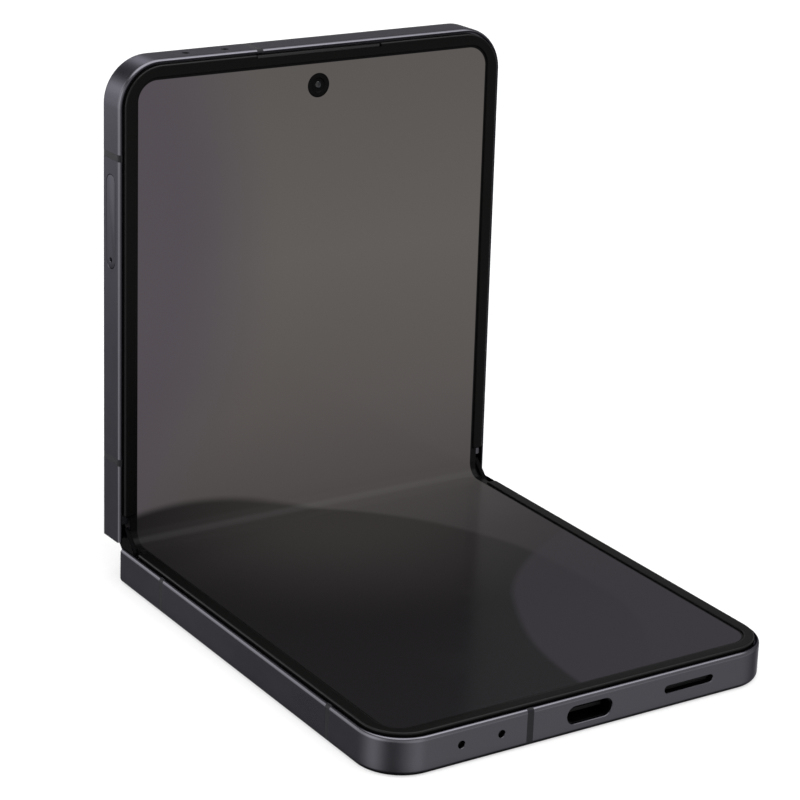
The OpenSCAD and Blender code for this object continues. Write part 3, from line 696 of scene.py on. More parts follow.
def build_frame(name, place, upper):
    segs = frame_stations()
    solid, bands = [], []
    for i, st in enumerate(segs):
        (bands if i % 2 else solid).append(frame_segment(st, 0.012 if i % 2 else 0.0, bool(i % 2)))
    V, F, G = join_data(solid)
    ident = lambda P: np.asarray(P, float).reshape(-1, 3)
    o = make(name, V, F, lambda P: ident(P) * MM, [M["frame_metal"], M["chamfer_metal"], M["rim_metal"], M["bore_metal"]], G)
    mm = lambda f: (lambda P: f(P) * MM)

    def hole(L, H, where, lip=0.16, deep=3.6, n=10, lip_d=0.14):
        lv = [(-0.001, -deep), (0.0, -lip_d - 0.02), (lip * 0.35, -lip_d * 0.55), (lip, 0.02), (lip, 1.0)]
        v, f = pills(L, H, lv, n)
        k = len(v) // len(lv)
        # the deep walls and floor of each opening take the nearly black bore metal: painted shade inside the hole
        cutter = make("c", v, f, mm(where), list(o.data.materials), [3] * k + [0] * (3 * k) + [3, 3])
        cut(o, cutter)

    if not upper:
        hole(8.55, 2.95, along_s(0, HL, PORT_V), lip=0.12, lip_d=0.12, n=16)
        hole(9.65, 1.28, along_s(19.35, HL, SLOT_V), lip=0.08, lip_d=0.12)
        for x in MIC_X:
            hole(1.22, 1.22, along_s(x, HL, SLOT_V), lip=0.08, lip_d=0.08)
    else:
        for x in MIC_X:
            hole(1.3, 1.3, along_s(x, HL, SLOT_V), lip=0.04, lip_d=0.03)
        hole(TRAY_L + 0.16, 3.16, along_x(-HW, TRAY_S, TRAY_V, -1), lip=0.05, lip_d=0.06, deep=1.25, n=14)
        hole(13.1, 1.1, along_x(-HW, TRAY_S + 1.45, TRAY_V, -1), lip=0.0, lip_d=0.06, deep=2.2, n=4)
        hole(12.8, 2.7, along_x(HW, 35, KEY_V), lip=0.07, lip_d=0.08, deep=1.4, n=12)
        hole(19.3, 2.7, along_x(HW, 54, KEY_V), lip=0.07, lip_d=0.08, deep=1.4, n=12)
    if upper:
        # holes that the keys' plungers run in
        for s in (35, 54 - 6.5, 54 + 6.5):
            v, f = pills(1.3, 1.3, [(0, -2.6), (0, -1.2)], 16)
            k = len(v) // 2
            # the plunger holes' walls take the nearly black bore metal: painted shade
            cut(o, make("c", v, f, mm(along_x(HW, s, KEY_V)), list(o.data.materials), [3] * (k + 2)))
    # recess inside the rims, where the end caps turn
    for sg in (-1, 1):
        v, f = rbox(34.0, 36.98, -1.0, 3.9, -2.3, 1.0, 0.0)
        v = v * (sg, 1, 1)
        # the recess walls take the nearly black bore metal: painted shade
        cut(o, make("c", v, f, lambda P: ident(P) * MM, list(o.data.materials), [3] * len(f)))
    # the bar is joined after the openings are cut
    bv, bf, bg = hinge_bar()
    b = make("bar", bv, bf, lambda P: ident(P) * MM, [M["frame_metal"]], bg)
    bm = bmesh.new()
    bm.from_mesh(o.data)
    bm.from_mesh(b.data)
    bm.to_mesh(o.data)
    bm.free()
    old = b.data
    bpy.data.objects.remove(b)
    bpy.data.meshes.remove(old)
    co = np.array([v.co[:] for v in o.data.vertices]) / MM
    co = place(co)
    o.data.vertices.foreach_set("co", co.astype(np.float32).ravel())
    fix_normals(o)
    V, F, G = join_data(bands)
    bo = make(name.replace("frame", "bands"), V, F, place, [M["antenna_plastic"]], [0] * len(F))
    return o, bo


def fix_normals(o, angle=38.0):
    bm = bmesh.new()
    bm.from_mesh(o.data)
    bmesh.ops.recalc_face_normals(bm, faces=bm.faces)
    bm.to_mesh(o.data)
    bm.free()
    shade(o.data, angle)


def put(o, body, nodes=()):
    if nodes:
        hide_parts(*nodes)
    if body:
        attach(o, body)
    return o


o, b = build_frame("vis_lower_frame", lo, False)
put(o, "lower_half", ["lower_frame"])
put(b, "lower_half", ["lower_antenna_bands"])
o, b = build_frame("vis_upper_frame", up, True)
put(o, "upper_half", ["upper_frame"])
put(b, "upper_half", ["upper_antenna_bands"])


# ------------------------------------------------------------------ plates
def plate_outline(s0, ins, q, rs=0.3, n=12):
    x1, s1 = HW - ins, HL - ins
    P = []
    for (cx, cs, a0, r) in ((x1 - rs, s0 + rs, -90, rs), (x1 - q, s1 - q, 0, q), (-(x1 - q), s1 - q, 90, q), (-(x1 - rs), s0 + rs, 180, rs)):
        P += [(cx + r * math.cos(math.radians(a0 + 90 * i / n)), cs + r * math.sin(math.radians(a0 + 90 * i / n))) for i in range(n + 1)]
    return P


def plate(name, place, s0, ins, v_levels, mats, uv=False):
    """v_levels: (shrink, v) pairs."""
    outs = [plate_outline(s0 + g, ins + g, CR - ins - g, max(0.6 - g, 0.1)) for g, v in v_levels]
    V, F = stack(outs, [v for g, v in v_levels])
    return make(name, V, F, place, mats, [0] * len(F), uv=V[:, :2] / 100 if uv else None)


levels = [(0.0, VB + 0.5), (0.0, VB + 0.18), (0.03, VB + 0.09), (0.10, VB + 0.02), (0.22, VB)]
o = plate("vis_lower_back_glass", lo, 6.6, 1.06, levels, [M["back_glass"]])
put(o, "lower_half", ["lower_back_glass"])
o = plate("vis_upper_cover_glass", up, 6.6, 1.06, levels, [M["cover_glass"]], uv=True)
for cx, r in ((CAM_X[0], 5.44), (CAM_X[1], 5.44), (FLASH_X, 1.56)):
    v, f = pills(2 * r, 2 * r, [(0, -1), (0, 2)], 40)
    cut(o, make("c", v, f, lambda P, cx=cx: up(along_v(cx, CAM_S, VB)(P)), []))
put(o, "upper_half", ["upper_cover_glass"])


# ------------------------------------------------------------------ bezels
def bez_q(ins):
    return CR - BEZ_O + (3.85 - CR + BEZ_O) * (ins - BEZ_O) / (BEZ_I - BEZ_O)


def bezel(name, place, notch):
    ring = [(0.90, -0.76), (0.86, -0.70), (0.86, -0.30), (0.86, 0.0), (0.872, 0.08), (0.905, 0.155), (0.965, 0.215), (1.05, 0.255), (1.17, 0.277),
            (1.32, 0.28), (1.9, 0.28), (2.45, 0.278), (2.70, 0.265), (2.83, 0.235), (2.91, 0.18), (2.94, 0.11), (2.95, 0.03), (2.91, 0.022),
            (1.52, 0.022), (1.48, 0.0), (1.48, -0.70), (1.44, -0.76)]
    k = len(ring)
    R = 0.5
    es = [R * t for t in (0.0, 0.04, 0.12, 0.24, 0.40, 0.60, 0.80, 1.0)]
    st = [("LE", e) for e in es] + [("LE", 4.0)] + [("LF", f) for f in (0.3, 0.6, 0.85, 1.0)]
    st += [("CL", a) for a in span(0, 90, 18)][1:]
    st += [("E", x) for x in (-24.0, -12.6, 0.0, 12.6, 24.0)]
    st += [("CR", a) for a in span(90, 0, 18)]
    st += [("RF", f) for f in (0.85, 0.6, 0.3)] + [("RE", 4.0)] + [("RE", e) for e in es[::-1]]
    V, F, G = [], [], []
    for kk, a in st:
        g = 1.0
        if kk in ("LE", "RE") and a < R:
            g = math.sqrt(max(1 - (1 - a / R) ** 2, 0.0)) * 0.75 + 0.25
        for ins, v in ring:
            i2 = 2.05 + (ins - 2.05) * (0.70 + 0.30 * g)
            v2 = 0.03 + (v - 0.03) * g if v > 0.03 else v
            x, s = path_point((kk, a), i2, bez_q(ins), 5.4)
            V.append((x, s, v2))
    n = len(st)
    for i in range(n - 1):
        for j in range(k):
            F.append((i * k + j, i * k + (j + 1) % k, (i + 1) * k + (j + 1) % k, (i + 1) * k + j))
            # the outer rounding of the bezel takes the lighter bezel_edge: painted highlight
            G.append(1 if 3 <= j <= 6 else 0)
    F += [tuple(range(k)), tuple((n - 1) * k + j for j in range(k))]
    G += [0, 0]
    o = make(name, V, F, lambda P: np.asarray(P, float).reshape(-1, 3) * MM, [M["bezel_plastic"], M["bezel_edge"]], G, angle=50)
    if notch:
        v, f = stack([[(-12.3 + t * 0.5, 1.45), (12.3 - t * 0.5, 1.45), (12.3 + t, 0.2), (-12.3 - t, 0.2)] for t in (0, 0)], [0.02, 2.0])
        v = np.stack([v[:, 0], HL - v[:, 1], v[:, 2]], 1)
        cut(o, make("c", v, f, lambda P: P * MM, []), angle=50)
    co = np.array([v.co[:] for v in o.data.vertices]) / MM
    o.data.vertices.foreach_set("co", place(co).astype(np.float32).ravel())
    fix_normals(o, 50)
    return o


put(bezel("vis_lower_bezel", lo, False), "lower_half", ["lower_bezel"])
put(bezel("vis_upper_bezel", up, True), "upper_half", ["upper_bezel"])
# gauze of the earpiece in the notch of the upper bezel
v, f = rbox(-12.0, 12.0, HL - 1.46, HL - 0.95, -0.30, 0.06, 0.03, 1)
put(make("vis_earpiece_gauze", v, f, up, [M["gauze"]]), "upper_half", ())

# ------------------------------------------------------------------ display
FD = (AX + AV * math.sin(PHI)) / math.cos(PHI)
FS = AX - FD
FV = AV - FD * math.sin(PHI) - AV * math.cos(PHI)
CY = FV + FOLD_R / math.cos(PHI)
ST = FS + FOLD_R * math.tan(PHI)       # where the flat run starts, as s
LA = FOLD_R * PHI                      # half of the bend's length


def bend(s, v):
    """Point of the half-folded film in the spine's (u, v), for a flat place s on the upper half and a height v."""
    if s < ST:
        a = s / ST * PHI
        r = FOLD_R - v
        return r * math.sin(a), CY - r * math.cos(a)
    a, b = s - AX, v - AV
    return AX + a * CP - b * SP, AV + a * SP + b * CP


def film(name, upper, x_half, s_end, q, thick, top=0.0, hole=False, mat=None, s_rows=None, columns=None, x_range=None):
    """A sheet from the fold's middle outwards, closed, with its flat place as UV."""
    rows = s_rows or (span(0, ST, 24) + span(ST, 7.0, 12)[1:] + span(7.0, s_end - q, 9)[1:] + [s_end - q + q * math.sin(math.radians(a)) for a in span(0, 90, 14)[1:]])
    cols = columns or span(-1, 1, 20)
    V = []
    flat = []
    for d in (top, top - thick):
        for s in rows:
            w = x_half
            if q and s > s_end - q:
                w = x_half - q + math.sqrt(max(q * q - (s - (s_end - q)) ** 2, 0.0))
            for c in cols:
                x = c * w if x_range is None else x_range[0] + (x_range[1] - x_range[0]) * (c + 1) / 2
                V.append((x, s, d))
    nr, nc = len(rows), len(cols)
    F = []
    idx = lambda k, i, j: k * nr * nc + i * nc + j
    for k in (0, 1):
        for i in range(nr - 1):
            for j in range(nc - 1):
                F.append((idx(k, i, j), idx(k, i, j + 1), idx(k, i + 1, j + 1), idx(k, i + 1, j)))
    for i in range(nr - 1):
        for j in (0, nc - 1):
            F.append((idx(0, i, j), idx(0, i + 1, j), idx(1, i + 1, j), idx(1, i, j)))
    for j in range(nc - 1):
        for i in (0, nr - 1):
            F.append((idx(0, i, j), idx(0, i, j + 1), idx(1, i, j + 1), idx(1, i, j)))
    o = make(name, V, F, lambda P: np.asarray(P, float).reshape(-1, 3) * MM, [mat], [0] * len(F), angle=60)
    if hole:
        v, f = pills(2 * PUNCH_R, 2 * PUNCH_R, [(0, -2), (0, 2)], 32)
        cut(o, make("c", v, f, lambda P: along_v(0, FRONT_S, 0)(P) * MM, []), angle=60)
    me = o.data
    co = np.array([p.co[:] for p in me.vertices]) / MM
    layer = me.uv_layers.new(name="flat")
    for lp in me.loops:
        p = co[lp.vertex_index]
        layer.data[lp.index].uv = (p[0] / 100, (p[1] if upper else -p[1]) / 100)
    pts = np.array([(p[0], *bend(p[1], p[2])) for p in co])
    if not upper:
        pts[:, 1] *= -1
    me.vertices.foreach_set("co", sp(pts).astype(np.float32).ravel())
    fix_normals(o, 60)
    return o


def bend_with(o, upper):
    if upper:
        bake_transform(o)
    else:
        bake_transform(o)


o = film("vis_display_lower", False, FILM, HL - HW + FILM, CR - HW + FILM, 0.3, mat=M["display_film"])
put(o, None, ["display_lower", "display_fold"])
bend_with(o, False)
o = film("vis_display_upper", True, FILM, HL - HW + FILM, CR - HW + FILM, 0.3, hole=True, mat=M["display_film"])
put(o, None, ["display_upper", "display_fold"])
bend_with(o, True)

# ------------------------------------------------------------------ hinge cable
def half_to_spine(s, v):
    a, b = s - AX, v - AV
    return AX + a * CP - b * SP, AV + a * SP + b * CP


CABLE = [half_to_spine(*q) for q in ((17.5, -2.1), (14, -2.1), (10, -2.0), (7, -2.0), (5, -2.3))] + [(2.6, -2.6), (1.3, -3.3), (0.0, -3.5)]


def smooth_line(P, n):
    """A smooth line through the points, level at its last one, which lies in the mirror plane."""
    Q = [np.array(p, float) for p in P]
    Q = [2 * Q[0] - Q[1]] + Q + [np.array((-Q[-2][0], Q[-2][1]))]
    out = []
    for a, b, c, d in zip(Q, Q[1:], Q[2:], Q[3:]):
        for i in range(n):
            k = i / n
            out.append(0.5 * (2 * b + (c - a) * k + (2 * a - 5 * b + 4 * c - d) * k * k + (3 * b - a - 3 * c + d) * k ** 3))
    out.append(Q[-2])
    return np.array(out)


def cable(name, upper):
    L = smooth_line(CABLE, 8)
    d = np.gradient(L, axis=0)
    d[-1] = (-1.0, 0.0)
    d /= np.linalg.norm(d, axis=1, keepdims=True)
    nrm = np.stack([-d[:, 1], d[:, 0]], 1)
    cols = span(-5.5, 5.5, 6)
    V = [(x, *(q + w * nn)) for w in (0.08, -0.08) for q, nn in zip(L, nrm) for x in cols]
    nr, nc = len(L), len(cols)
    g = lambda k, i, j: k * nr * nc + i * nc + j
    F = [(g(k, i, j), g(k, i, j + 1), g(k, i + 1, j + 1), g(k, i + 1, j)) for k in (0, 1) for i in range(nr - 1) for j in range(nc - 1)]
    F += [(g(0, i, j), g(0, i + 1, j), g(1, i + 1, j), g(1, i, j)) for i in range(nr - 1) for j in (0, nc - 1)]
    F += [(g(0, i, j), g(0, i, j + 1), g(1, i, j + 1), g(1, i, j)) for j in range(nc - 1) for i in (0, nr - 1)]
    V = np.array(V, float)
    if not upper:
        V[:, 1] *= -1
    o = make(name, V, F, sp, [M["flex_film"]], angle=60)
    put(o, None, ["hinge_flex_cable"])
    if upper:
        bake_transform(o)
    else:
        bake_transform(o)


cable("vis_flex_cable_lower", False)
cable("vis_flex_cable_upper", True)

# ------------------------------------------------------------------ front camera
v, f = lathe([(0, -0.9), (PUNCH_R - 0.06, -0.9), (PUNCH_R - 0.06, -0.06), (PUNCH_R - 0.12, -0.03), (1.30, -0.03), (1.22, -0.10), (1.15, -0.16), (0.0, -0.16)], 64)
ring = (v, f, [0] * len(f))
v2, f2 = lathe([(0, -0.32), (1.12, -0.32), (1.10, -0.22), (0.9, -0.20), (0.66, -0.19), (0.62, -0.17), (0.58, -0.12), (0.50, -0.07), (0.40, -0.035), (0.28, -0.01), (0.14, 0.0), (0.0, 0.003)], 48)
box1 = rbox(-2.75, 2.75, -2.75, 2.75, -4.6, -1.8, 0.3, 2)
disc1 = lathe([(0, -1.8), (2.6, -1.8), (2.6, -0.95), (0, -0.95)], 48)
V, F, G = join_data([ring, (v2, f2, [1] * len(f2)), (box1[0], box1[1], [0] * len(box1[1])), (disc1[0], disc1[1], [0] * len(disc1[1]))])
o = make("vis_front_camera", V, F, lambda P: up(along_v(0, FRONT_S, 0)(np.asarray(P, float))), [M["module_plastic"], M["lens_small"]], G)
put(o, "upper_half", ["front_camera"])

# ------------------------------------------------------------------ rear cameras
prof = [(3.6, VB + 0.02), (3.6, VB - 0.98), (5.0, VB - 0.98), (5.08, VB - 1.0), (5.12, VB - 1.20), (5.20, VB - 1.27), (5.32, VB - 1.30), (5.66, VB - 1.30),
        (5.80, VB - 1.27), (5.90, VB - 1.20), (5.965, VB - 1.10), (6.0, VB - 0.95), (6.0, VB - 0.01), (5.40, VB - 0.01), (5.40, VB + 0.5), (3.6, VB + 0.5)]
rv, rf = ring_lathe(prof, 96)
parts = []
for cx in CAM_X:
    parts.append((along_v(cx, CAM_S, 0)(rv), rf, [0] * len(rf)))
V, F, G = join_data(parts)
put(make("vis_camera_rings", V, F, up, [M["ring_metal"]], G), "upper_half", ["camera_rings"])


def window_material():
    """Clear cover glass with a printed black border is drawn as a ring: this is the clear part."""
    m, nt, b = new_mat("window_glass")
    tc = nt.nodes.new("ShaderNodeTexCoord").outputs["Object"]
    nt.links.new(ranged(nt, noise(nt, tc, 900, 3.0), 0.4, 0.8, 0.01, 0.05, True), b.inputs["Roughness"])
    b.inputs["Base Color"].default_value = (0.9, 0.92, 0.95, 1)
    b.inputs["Transmission Weight"].default_value = 1.0
    b.inputs["IOR"].default_value = 1.28
    return m


M["window_glass"] = window_material()
parts, mods = [], []
for cx in CAM_X:
    v, f = lathe([(0, VB - 1.0), (5.06, VB - 1.0), (5.06, VB - 1.20), (5.0, VB - 1.25), (0, VB - 1.25)], 72)
    parts.append((along_v(cx, CAM_S, 0)(v), f, [0] * len(f)))
    # barrel with steps, then a domed front element
    v, f = lathe([(0, -4.9), (3.5, -4.9), (3.5, VB - 0.90), (3.30, VB - 0.93), (3.15, VB - 0.86), (3.05, VB - 0.60), (2.75, VB - 0.56), (2.66, VB - 0.30),
                  (2.30, VB - 0.26), (2.20, VB - 0.02), (0, VB + 0.02)], 72)
    mods.append((along_v(cx, CAM_S, 0)(v), f, [0] * len(f)))
    v, f = lathe([(0, VB + 0.02), (2.16, VB + 0.0), (2.10, VB - 0.18), (1.7, VB - 0.36), (1.2, VB - 0.48), (0.6, VB - 0.55), (0, VB - 0.57)], 64)
    mods.append((along_v(cx, CAM_S, 0)(v), f, [1] * len(f)))
    v, f = rbox(cx - 5.4, cx + 5.4, CAM_S - 5.4, CAM_S + 5.4, -4.9, -1.8, 0.5, 2)
    mods.append((v, f, [0] * len(f)))
V, F, G = join_data(parts)
put(make("vis_camera_lenses", V, F, up, [M["window_glass"]], G), "upper_half", ["camera_lenses"])
V, F, G = join_data(mods)
put(make("vis_camera_modules", V, F, up, [M["module_plastic"], M["lens_glass"]], G), "upper_half", ["camera_modules"])
# flash: a lens with fine rings
prof = [(0, VB + 0.5), (1.5, VB + 0.5), (1.5, VB - 0.06), (1.44, VB - 0.10), (1.28, VB - 0.10)]
for i in range(5):
    r = 1.22 - i * 0.22
    prof += [(r, VB - 0.03), (r - 0.15, VB - 0.085)]
prof += [(0.1, VB - 0.05), (0, VB - 0.05)]
v, f = lathe(prof, 56)
put(make("vis_flash_lens", v, f, lambda P: up(along_v(FLASH_X, CAM_S, 0)(P)), [M["flash_plastic"]], angle=25), "upper_half", ["flash_lens"])

# ------------------------------------------------------------------ spine
def xsweep(profile, x0, x1, ends=0.0):
    """A closed (u, v) profile swept along x, its ends rounded by a small bevel."""
    pr = np.array(profile)
    c = pr.mean(0)
    k = len(pr)
    xs = [(x0, 0.05), (x0 + 0.05, 0.0), (x1 - 0.05, 0.0), (x1, 0.05)] if ends else [(x0, 0), (x1, 0)]
    V, F = [], []
    for x, g in xs:
        d = pr - c
        n = np.maximum(np.linalg.norm(d, axis=1, keepdims=True), 1e-6)
        V += [(x, *p) for p in (pr - d / n * g)]
    for i in range(len(xs) - 1):
        for j in range(k):
            F.append((i * k + j, i * k + (j + 1) % k, (i + 1) * k + (j + 1) % k, (i + 1) * k + j))
    F += [tuple(range(k)), tuple((len(xs) - 1) * k + j for j in range(k))]
    return V, F, [0] * len(F)


def cover_outline(r, v_cut, n=20):
    """The spine's outer line from left to right: two arcs joined below by a flat."""
    a0 = math.asin((v_cut - AV) / r)
    right = [(AX + r * math.cos(a0 + (-math.pi / 2 - a0) * i / n), AV + r * math.sin(a0 + (-math.pi / 2 - a0) * i / n)) for i in range(n + 1)]
    return [(-u, v) for u, v in right] + right[::-1]


out = cover_outline(3.85, -2.42)
inn = cover_outline(3.50, -2.42)
# lips of the shell get a small round
shell = out + [(out[-1][0] - 0.06, out[-1][1] + 0.07), (inn[-1][0] + 0.06, inn[-1][1] + 0.07)] + inn[::-1] + [(inn[0][0] - 0.06, inn[0][1] + 0.07), (out[0][0] + 0.06, out[0][1] + 0.07)]
parts = [xsweep(shell, -35.0, 35.0)]
end = cover_outline(3.85, -1.37)
for a, b_ in ((-35.3, -35.0), (35.0, 35.3)):
    parts.append(xsweep(end, a, b_, 0.05))
V, F, G = join_data(parts)
put(make("vis_spine_cover", V, F, sp, [M["spine_metal"]], G), "spine", ["spine_cover"])

# end caps: a bridge over each end of the fold, slightly waisted, on a stem
parts = []
for sg in (-1, 1):
    V, F = rbox(35.66, 36.42, -2.5, 2.5, 0.03, 0.35, 0.09, 3)
    V[:, 2] -= 0.05 * np.cos(V[:, 1] / 2.6 * math.pi / 2) * (V[:, 2] > 0.2)
    V[:, 0] *= sg
    parts.append((V, F, [0] * len(F)))
    V, F = rbox(35.58, 35.69, -2.35, 2.35, -1.75, 0.30, 0.03, 1)
    V[:, 0] *= sg
    parts.append((V, F, [0] * len(F)))
    V, F, _ = xsweep(cover_outline(3.80, -1.50), 35.32, 35.60, 0.05)
    V = np.array(V, float)
    V[:, 0] *= sg
    parts.append((V, F, [0] * len(F)))
V, F, G = join_data(parts)
put(make("vis_hinge_end_caps", V, F, sp, [M["cap_plastic"]], G), "spine", ["hinge_end_caps"])

# ------------------------------------------------------------------ keys and card tray
def key(name, body, node, L, s, pins):
    lv = [(0.0, -1.1), (0.0, 0.20), (-0.03, 0.29), (-0.10, 0.34), (-0.20, 0.35)]
    v, f = pills(L, 2.4, lv, 16)
    parts = [(along_x(HW, s, KEY_V)(v), f, [0] * len(f))]
    for p in pins:
        v, f = pills(1.0, 1.0, [(0, -2.35), (0, -1.1)], 16)
        parts.append((along_x(HW, s + p, KEY_V)(v), f, [0] * len(f)))
    V, F, G = join_data(parts)
    return put(make(name, V, F, up, [M["key_metal"]], G), body, [node])


key("vis_power_key", "power_button", "power_key", 12.5, 35, (0,))
key("vis_volume_key", "volume_button", "volume_key", 19, 54, (-6.5, 6.5))

lv = [(0.0, -1.2), (0.0, -0.06), (-0.03, -0.015), (-0.08, 0.0)]
v, f = pills(TRAY_L, 3.0, lv, 16)
face = make("vis_sim_tray", v, f, lambda P: along_x(-HW, TRAY_S, TRAY_V, -1)(P) * MM, [M["tray_metal"]])
v, f = pills(0.84, 0.84, [(0, -2.5), (0, -0.07), (0.05, 0.02), (0.05, 1)], 12)
cut(face, make("c", v, f, lambda P: along_x(-HW, TRAY_S - 6.6, TRAY_V, -1)(P) * MM, []))
v, f = rbox(-HW + 1.2, -HW + 21, TRAY_S - 4.8, TRAY_S + 7.7, TRAY_V - 0.4, TRAY_V + 0.4, 0.08, 2)
blade = make("blade", v, f, lambda P: P * MM, [M["tray_metal"]])
for (a, b_, c, d, e) in ((3.2, 15.6, -3.8, 5.1, -0.15), (4.4, 14.4, -2.6, 3.9, -1.0)):
    v, f = rbox(-HW + a, -HW + b_, TRAY_S + c, TRAY_S + d, TRAY_V + e, TRAY_V + 2, 0.3, 2)
    cut(blade, make("c", v, f, lambda P: P * MM, []))
bm = bmesh.new()
bm.from_mesh(face.data)
bm.from_mesh(blade.data)
bm.to_mesh(face.data)
bm.free()
old = blade.data
bpy.data.objects.remove(blade)
bpy.data.meshes.remove(old)
co = np.array([p.co[:] for p in face.data.vertices]) / MM
face.data.vertices.foreach_set("co", up(co).astype(np.float32).ravel())
fix_normals(face)
put(face, "card_tray", ["sim_tray"])

# ------------------------------------------------------------------ port and slots
parts = []
v, f = pills(8.3, 2.6, [(0, -8.6), (0, -7.4)], 16)
parts.append((along_s(0, HL, PORT_V)(v), f, [0] * len(f)))
v, f = rbox(-3.35, 3.35, HL - 7.45, HL - 1.7, PORT_V - 0.35, PORT_V + 0.35, 0.12, 3)
parts.append((v, f, [0] * len(f)))
V, F, G = join_data(parts)
put(make("vis_usb_tongue", V, F, lo, [M["port_plastic"]], G), "lower_half", ["usb_tongue"])
parts = []
for i in range(12):
    x = (i - 5.5) * 0.5
    for sg in (-1, 1):
        v, f = rbox(x - 0.12, x + 0.12, HL - 4.9, HL - 2.3, PORT_V + sg * 0.362 - 0.015, PORT_V + sg * 0.362 + 0.015, 0.0)
        parts.append((v, f, [0] * len(f)))
V, F, G = join_data(parts)
put(make("vis_usb_contacts", V, F, lo, [M["contact_gold"]], G), "lower_half", ())
v, f = pills(9.5, 1.3, [(0, -2.2), (0, -1.1)], 10)
put(make("vis_speaker_gauze", v, f, lambda P: lo(along_s(19.35, HL, SLOT_V)(P)), [M["gauze"]]), "lower_half", ())
parts = []
for x in MIC_X:
    v, f = pills(1.1, 1.1, [(0, -2.2), (0, -0.9)], 10)
    parts.append((along_s(x, HL, SLOT_V)(v), f, [0] * len(f)))
V, F, G = join_data(parts)
put(make("vis_lower_mic_gauze", V, F, lo, [M["gauze"]], G), "lower_half", ())
parts = []
for x in MIC_X:
    v, f = pills(1.24, 1.24, [(0, -2.1), (0, -0.8)], 10)
    parts.append((along_s(x, HL, SLOT_V)(v), f, [0] * len(f)))
V, F, G = join_data(parts)
put(make("vis_upper_mic_gauze", V, F, up, [M["gauze"]], G), "upper_half", ())

# ------------------------------------------------------------------ studio
def floor_material():
    m, nt, b = new_mat("floor_paper")
    tc = nt.nodes.new("ShaderNodeTexCoord").outputs["Object"]
    n = noise(nt, tc, 400, 4.0, 0.6)
    nt.links.new(mixc(nt, ranged(nt, n, 0.3, 0.7, 0, 1), (0.24, 0.24, 0.24), (0.25, 0.25, 0.25)), b.inputs["Base Color"])
    b.inputs["Roughness"].default_value = 0.9
    b.inputs["Specular IOR Level"].default_value = 0.0
    b.inputs["Emission Color"].default_value = (1, 1, 1, 1)
    b.inputs["Emission Strength"].default_value = 0.60
    return m


me = bpy.data.meshes.new("studio_floor")
me.from_pydata([(-6, -6, 0), (6, -6, 0), (6, 6, 0), (-6, 6, 0)], [], [(0, 1, 2, 3)])
me.materials.append(floor_material())
floor = bpy.data.objects.new("studio_floor", me)
bpy.context.scene.collection.objects.link(floor)
floor.visible_glossy = False


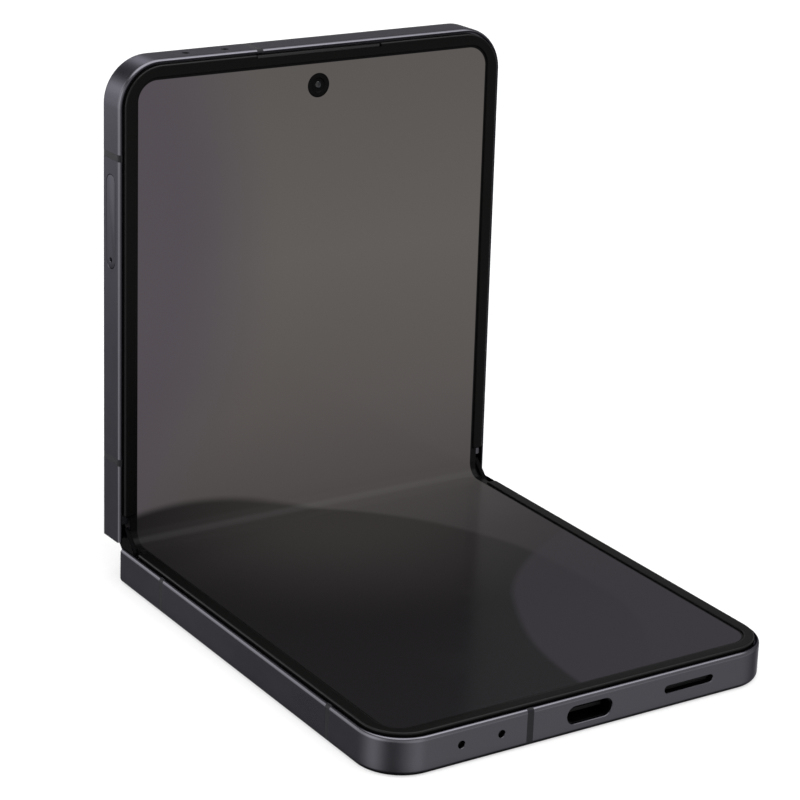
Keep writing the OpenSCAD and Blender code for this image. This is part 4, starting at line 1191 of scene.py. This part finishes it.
def studio_world():
    """Soft light all round with broad upright soft boxes: brightness by direction."""
    w = bpy.data.worlds.new("studio")
    bpy.context.scene.world = w
    w.use_nodes = True
    nt = w.node_tree
    nt.nodes.clear()
    out = nt.nodes.new("ShaderNodeOutputWorld")
    bg = nt.nodes.new("ShaderNodeBackground")
    nt.links.new(bg.outputs[0], out.inputs[0])
    tc = nt.nodes.new("ShaderNodeTexCoord").outputs["Generated"]
    sep = nt.nodes.new("ShaderNodeSeparateXYZ")
    nt.links.new(tc, sep.inputs[0])
    x, y, z = sep.outputs
    # angle round from -Y towards -X, as 0..1 with 0.5 at -Y
    az = math_node(nt, "ARCTAN2", math_node(nt, "MULTIPLY", x, -1.0), math_node(nt, "MULTIPLY", y, -1.0))
    az = ranged(nt, az, -math.pi, math.pi, 0.0, 1.0)
    top = 3.5

    def round_table(table):
        ramp = nt.nodes.new("ShaderNodeValToRGB")
        ramp.color_ramp.interpolation = "B_SPLINE"
        nt.links.new(az, ramp.inputs[0])
        el = ramp.color_ramp.elements
        for i, (a, v) in enumerate(table):
            p = (a + 180) / 360
            e = el[i] if i < 2 else el.new(p)
            e.position = p
            g = min(v / top, 1.0)
            e.color = (g, g, g, 1)
        return ramp.outputs[0]

    low = round_table([(-180, 0.6), (-145, 1.1), (-125, 1.2), (-112, 0.85), (-95, 0.40), (-82, 0.5), (-62, 1.2), (-42, 1.3), (-28, 1.25), (-16, 2.1), (-2, 1.9), (14, 1.2),
                       (30, 0.55), (47, 0.15), (64, 0.5), (80, 1.6), (94, 2.2), (106, 1.4), (122, 0.65), (140, 0.30), (160, 0.5)])
    high = round_table([(-180, 1.0), (-160, 0.52), (-140, 0.38), (-120, 0.5), (-95, 0.4), (-62, 0.8), (-40, 0.75), (-28, 0.9), (-14, 1.8), (0, 1.8), (20, 1.2),
                        (45, 0.8), (64, 1.4), (80, 2.8), (98, 3.0), (115, 2.0), (130, 1.7), (142, 2.2), (156, 2.3), (168, 1.4)])
    lift = ranged(nt, z, -0.36, -0.15, 0.0, 1.0, True)
    side = math_node(nt, "ADD", math_node(nt, "MULTIPLY", low, math_node(nt, "SUBTRACT", 1.0, lift)), math_node(nt, "MULTIPLY", high, lift))
    side = math_node(nt, "MULTIPLY", side, top)
    # darker towards the ground, and one even ceiling above about 35 degrees
    side = math_node(nt, "MULTIPLY", side, ranged(nt, z, -0.80, -0.46, 0.05, 1.0, True))
    up_mix = ranged(nt, z, 0.30, 0.62, 0.0, 1.0, True)
    ceil = math_node(nt, "ADD", math_node(nt, "MULTIPLY", side, math_node(nt, "SUBTRACT", 1.0, up_mix)), math_node(nt, "MULTIPLY", up_mix, 0.55))

    def lobe(dx, dy, dz, width, gain):
        d = nt.nodes.new("ShaderNodeVectorMath")
        d.operation = "DISTANCE"
        nt.links.new(tc, d.inputs[0])
        v = Vector((dx, dy, dz)).normalized()
        d.inputs[1].default_value = v[:]
        return math_node(nt, "MULTIPLY", ranged(nt, d.outputs["Value"], 0.0, width, 1.0, 0.0, True), gain)

    # a bright panel overhead
    tot = math_node(nt, "ADD", ceil, math_node(nt, "MULTIPLY", ranged(nt, z, 0.68, 0.93, 0.0, 1.0, True), 3.6))
    for args in ((0.22, 0.86, 0.46, 0.24, 3.4), (-0.48, 0.87, 0.20, 0.24, 1.9), (0.48, -0.46, 0.72, 0.42, 4.3)):
        tot = math_node(nt, "ADD", tot, lobe(*args))
    shade_ = lobe(-0.24, 0.86, 0.44, 0.36, 0.98)
    tot = math_node(nt, "MULTIPLY", tot, math_node(nt, "SUBTRACT", 1.0, shade_))
    nt.links.new(tot, bg.inputs["Strength"])
    bg.inputs["Color"].default_value = (1, 1, 1, 1)
    try:
        w.cycles.sampling_method = "NONE"
    except Exception:
        pass


studio_world()


def area(name, loc, target, size, power):
    l = bpy.data.lights.new(name, "AREA")
    l.shape, l.size, l.energy = "SQUARE", size, power
    ob = bpy.data.objects.new(name, l)
    ob.location = loc
    ob.rotation_euler = (Vector(target) - Vector(loc)).to_track_quat("-Z", "Y").to_euler()
    bpy.context.scene.collection.objects.link(ob)
    ob.visible_glossy = False
    return ob


area("key_light", (-0.6, -0.5, 1.1), (0, 0, 0.03), 0.9, 5.0)
area("fill_light", (0.9, -0.6, 0.9), (0, 0, 0.03), 0.9, 4.0)

# ------------------------------------------------------------------ camera
cam = bpy.data.cameras.new("camera")
cam.sensor_width = 36.0
cam.lens = 2742.9 / 800 * 36.0
cam.clip_start, cam.clip_end = 0.02, 50.0
co = bpy.data.objects.new("camera", cam)
# the photograph is cropped below its optical axis, hence the shift
cam.shift_x, cam.shift_y = -19.54 / 800, -135.15 / 800
yaw, pitch = 0.5927, -0.2979
fwd = Vector((math.cos(pitch) * math.sin(yaw), math.cos(pitch) * math.cos(yaw), math.sin(pitch)))
right = fwd.cross(Vector((0, 0, 1))).normalized()
upv = right.cross(fwd)
roll = 0.0427
r2 = right * math.cos(roll) + upv * math.sin(roll)
u2 = -right * math.sin(roll) + upv * math.cos(roll)
rot = Matrix((r2, u2, -fwd)).transposed()
co.matrix_world = Matrix.Translation(Vector((-0.23766, -0.34288, 0.19105))) @ rot.to_4x4()
bpy.context.scene.collection.objects.link(co)
bpy.context.scene.camera = co
bpy.context.scene.view_settings.view_transform = "Standard"
bpy.context.scene.view_settings.look = "None"
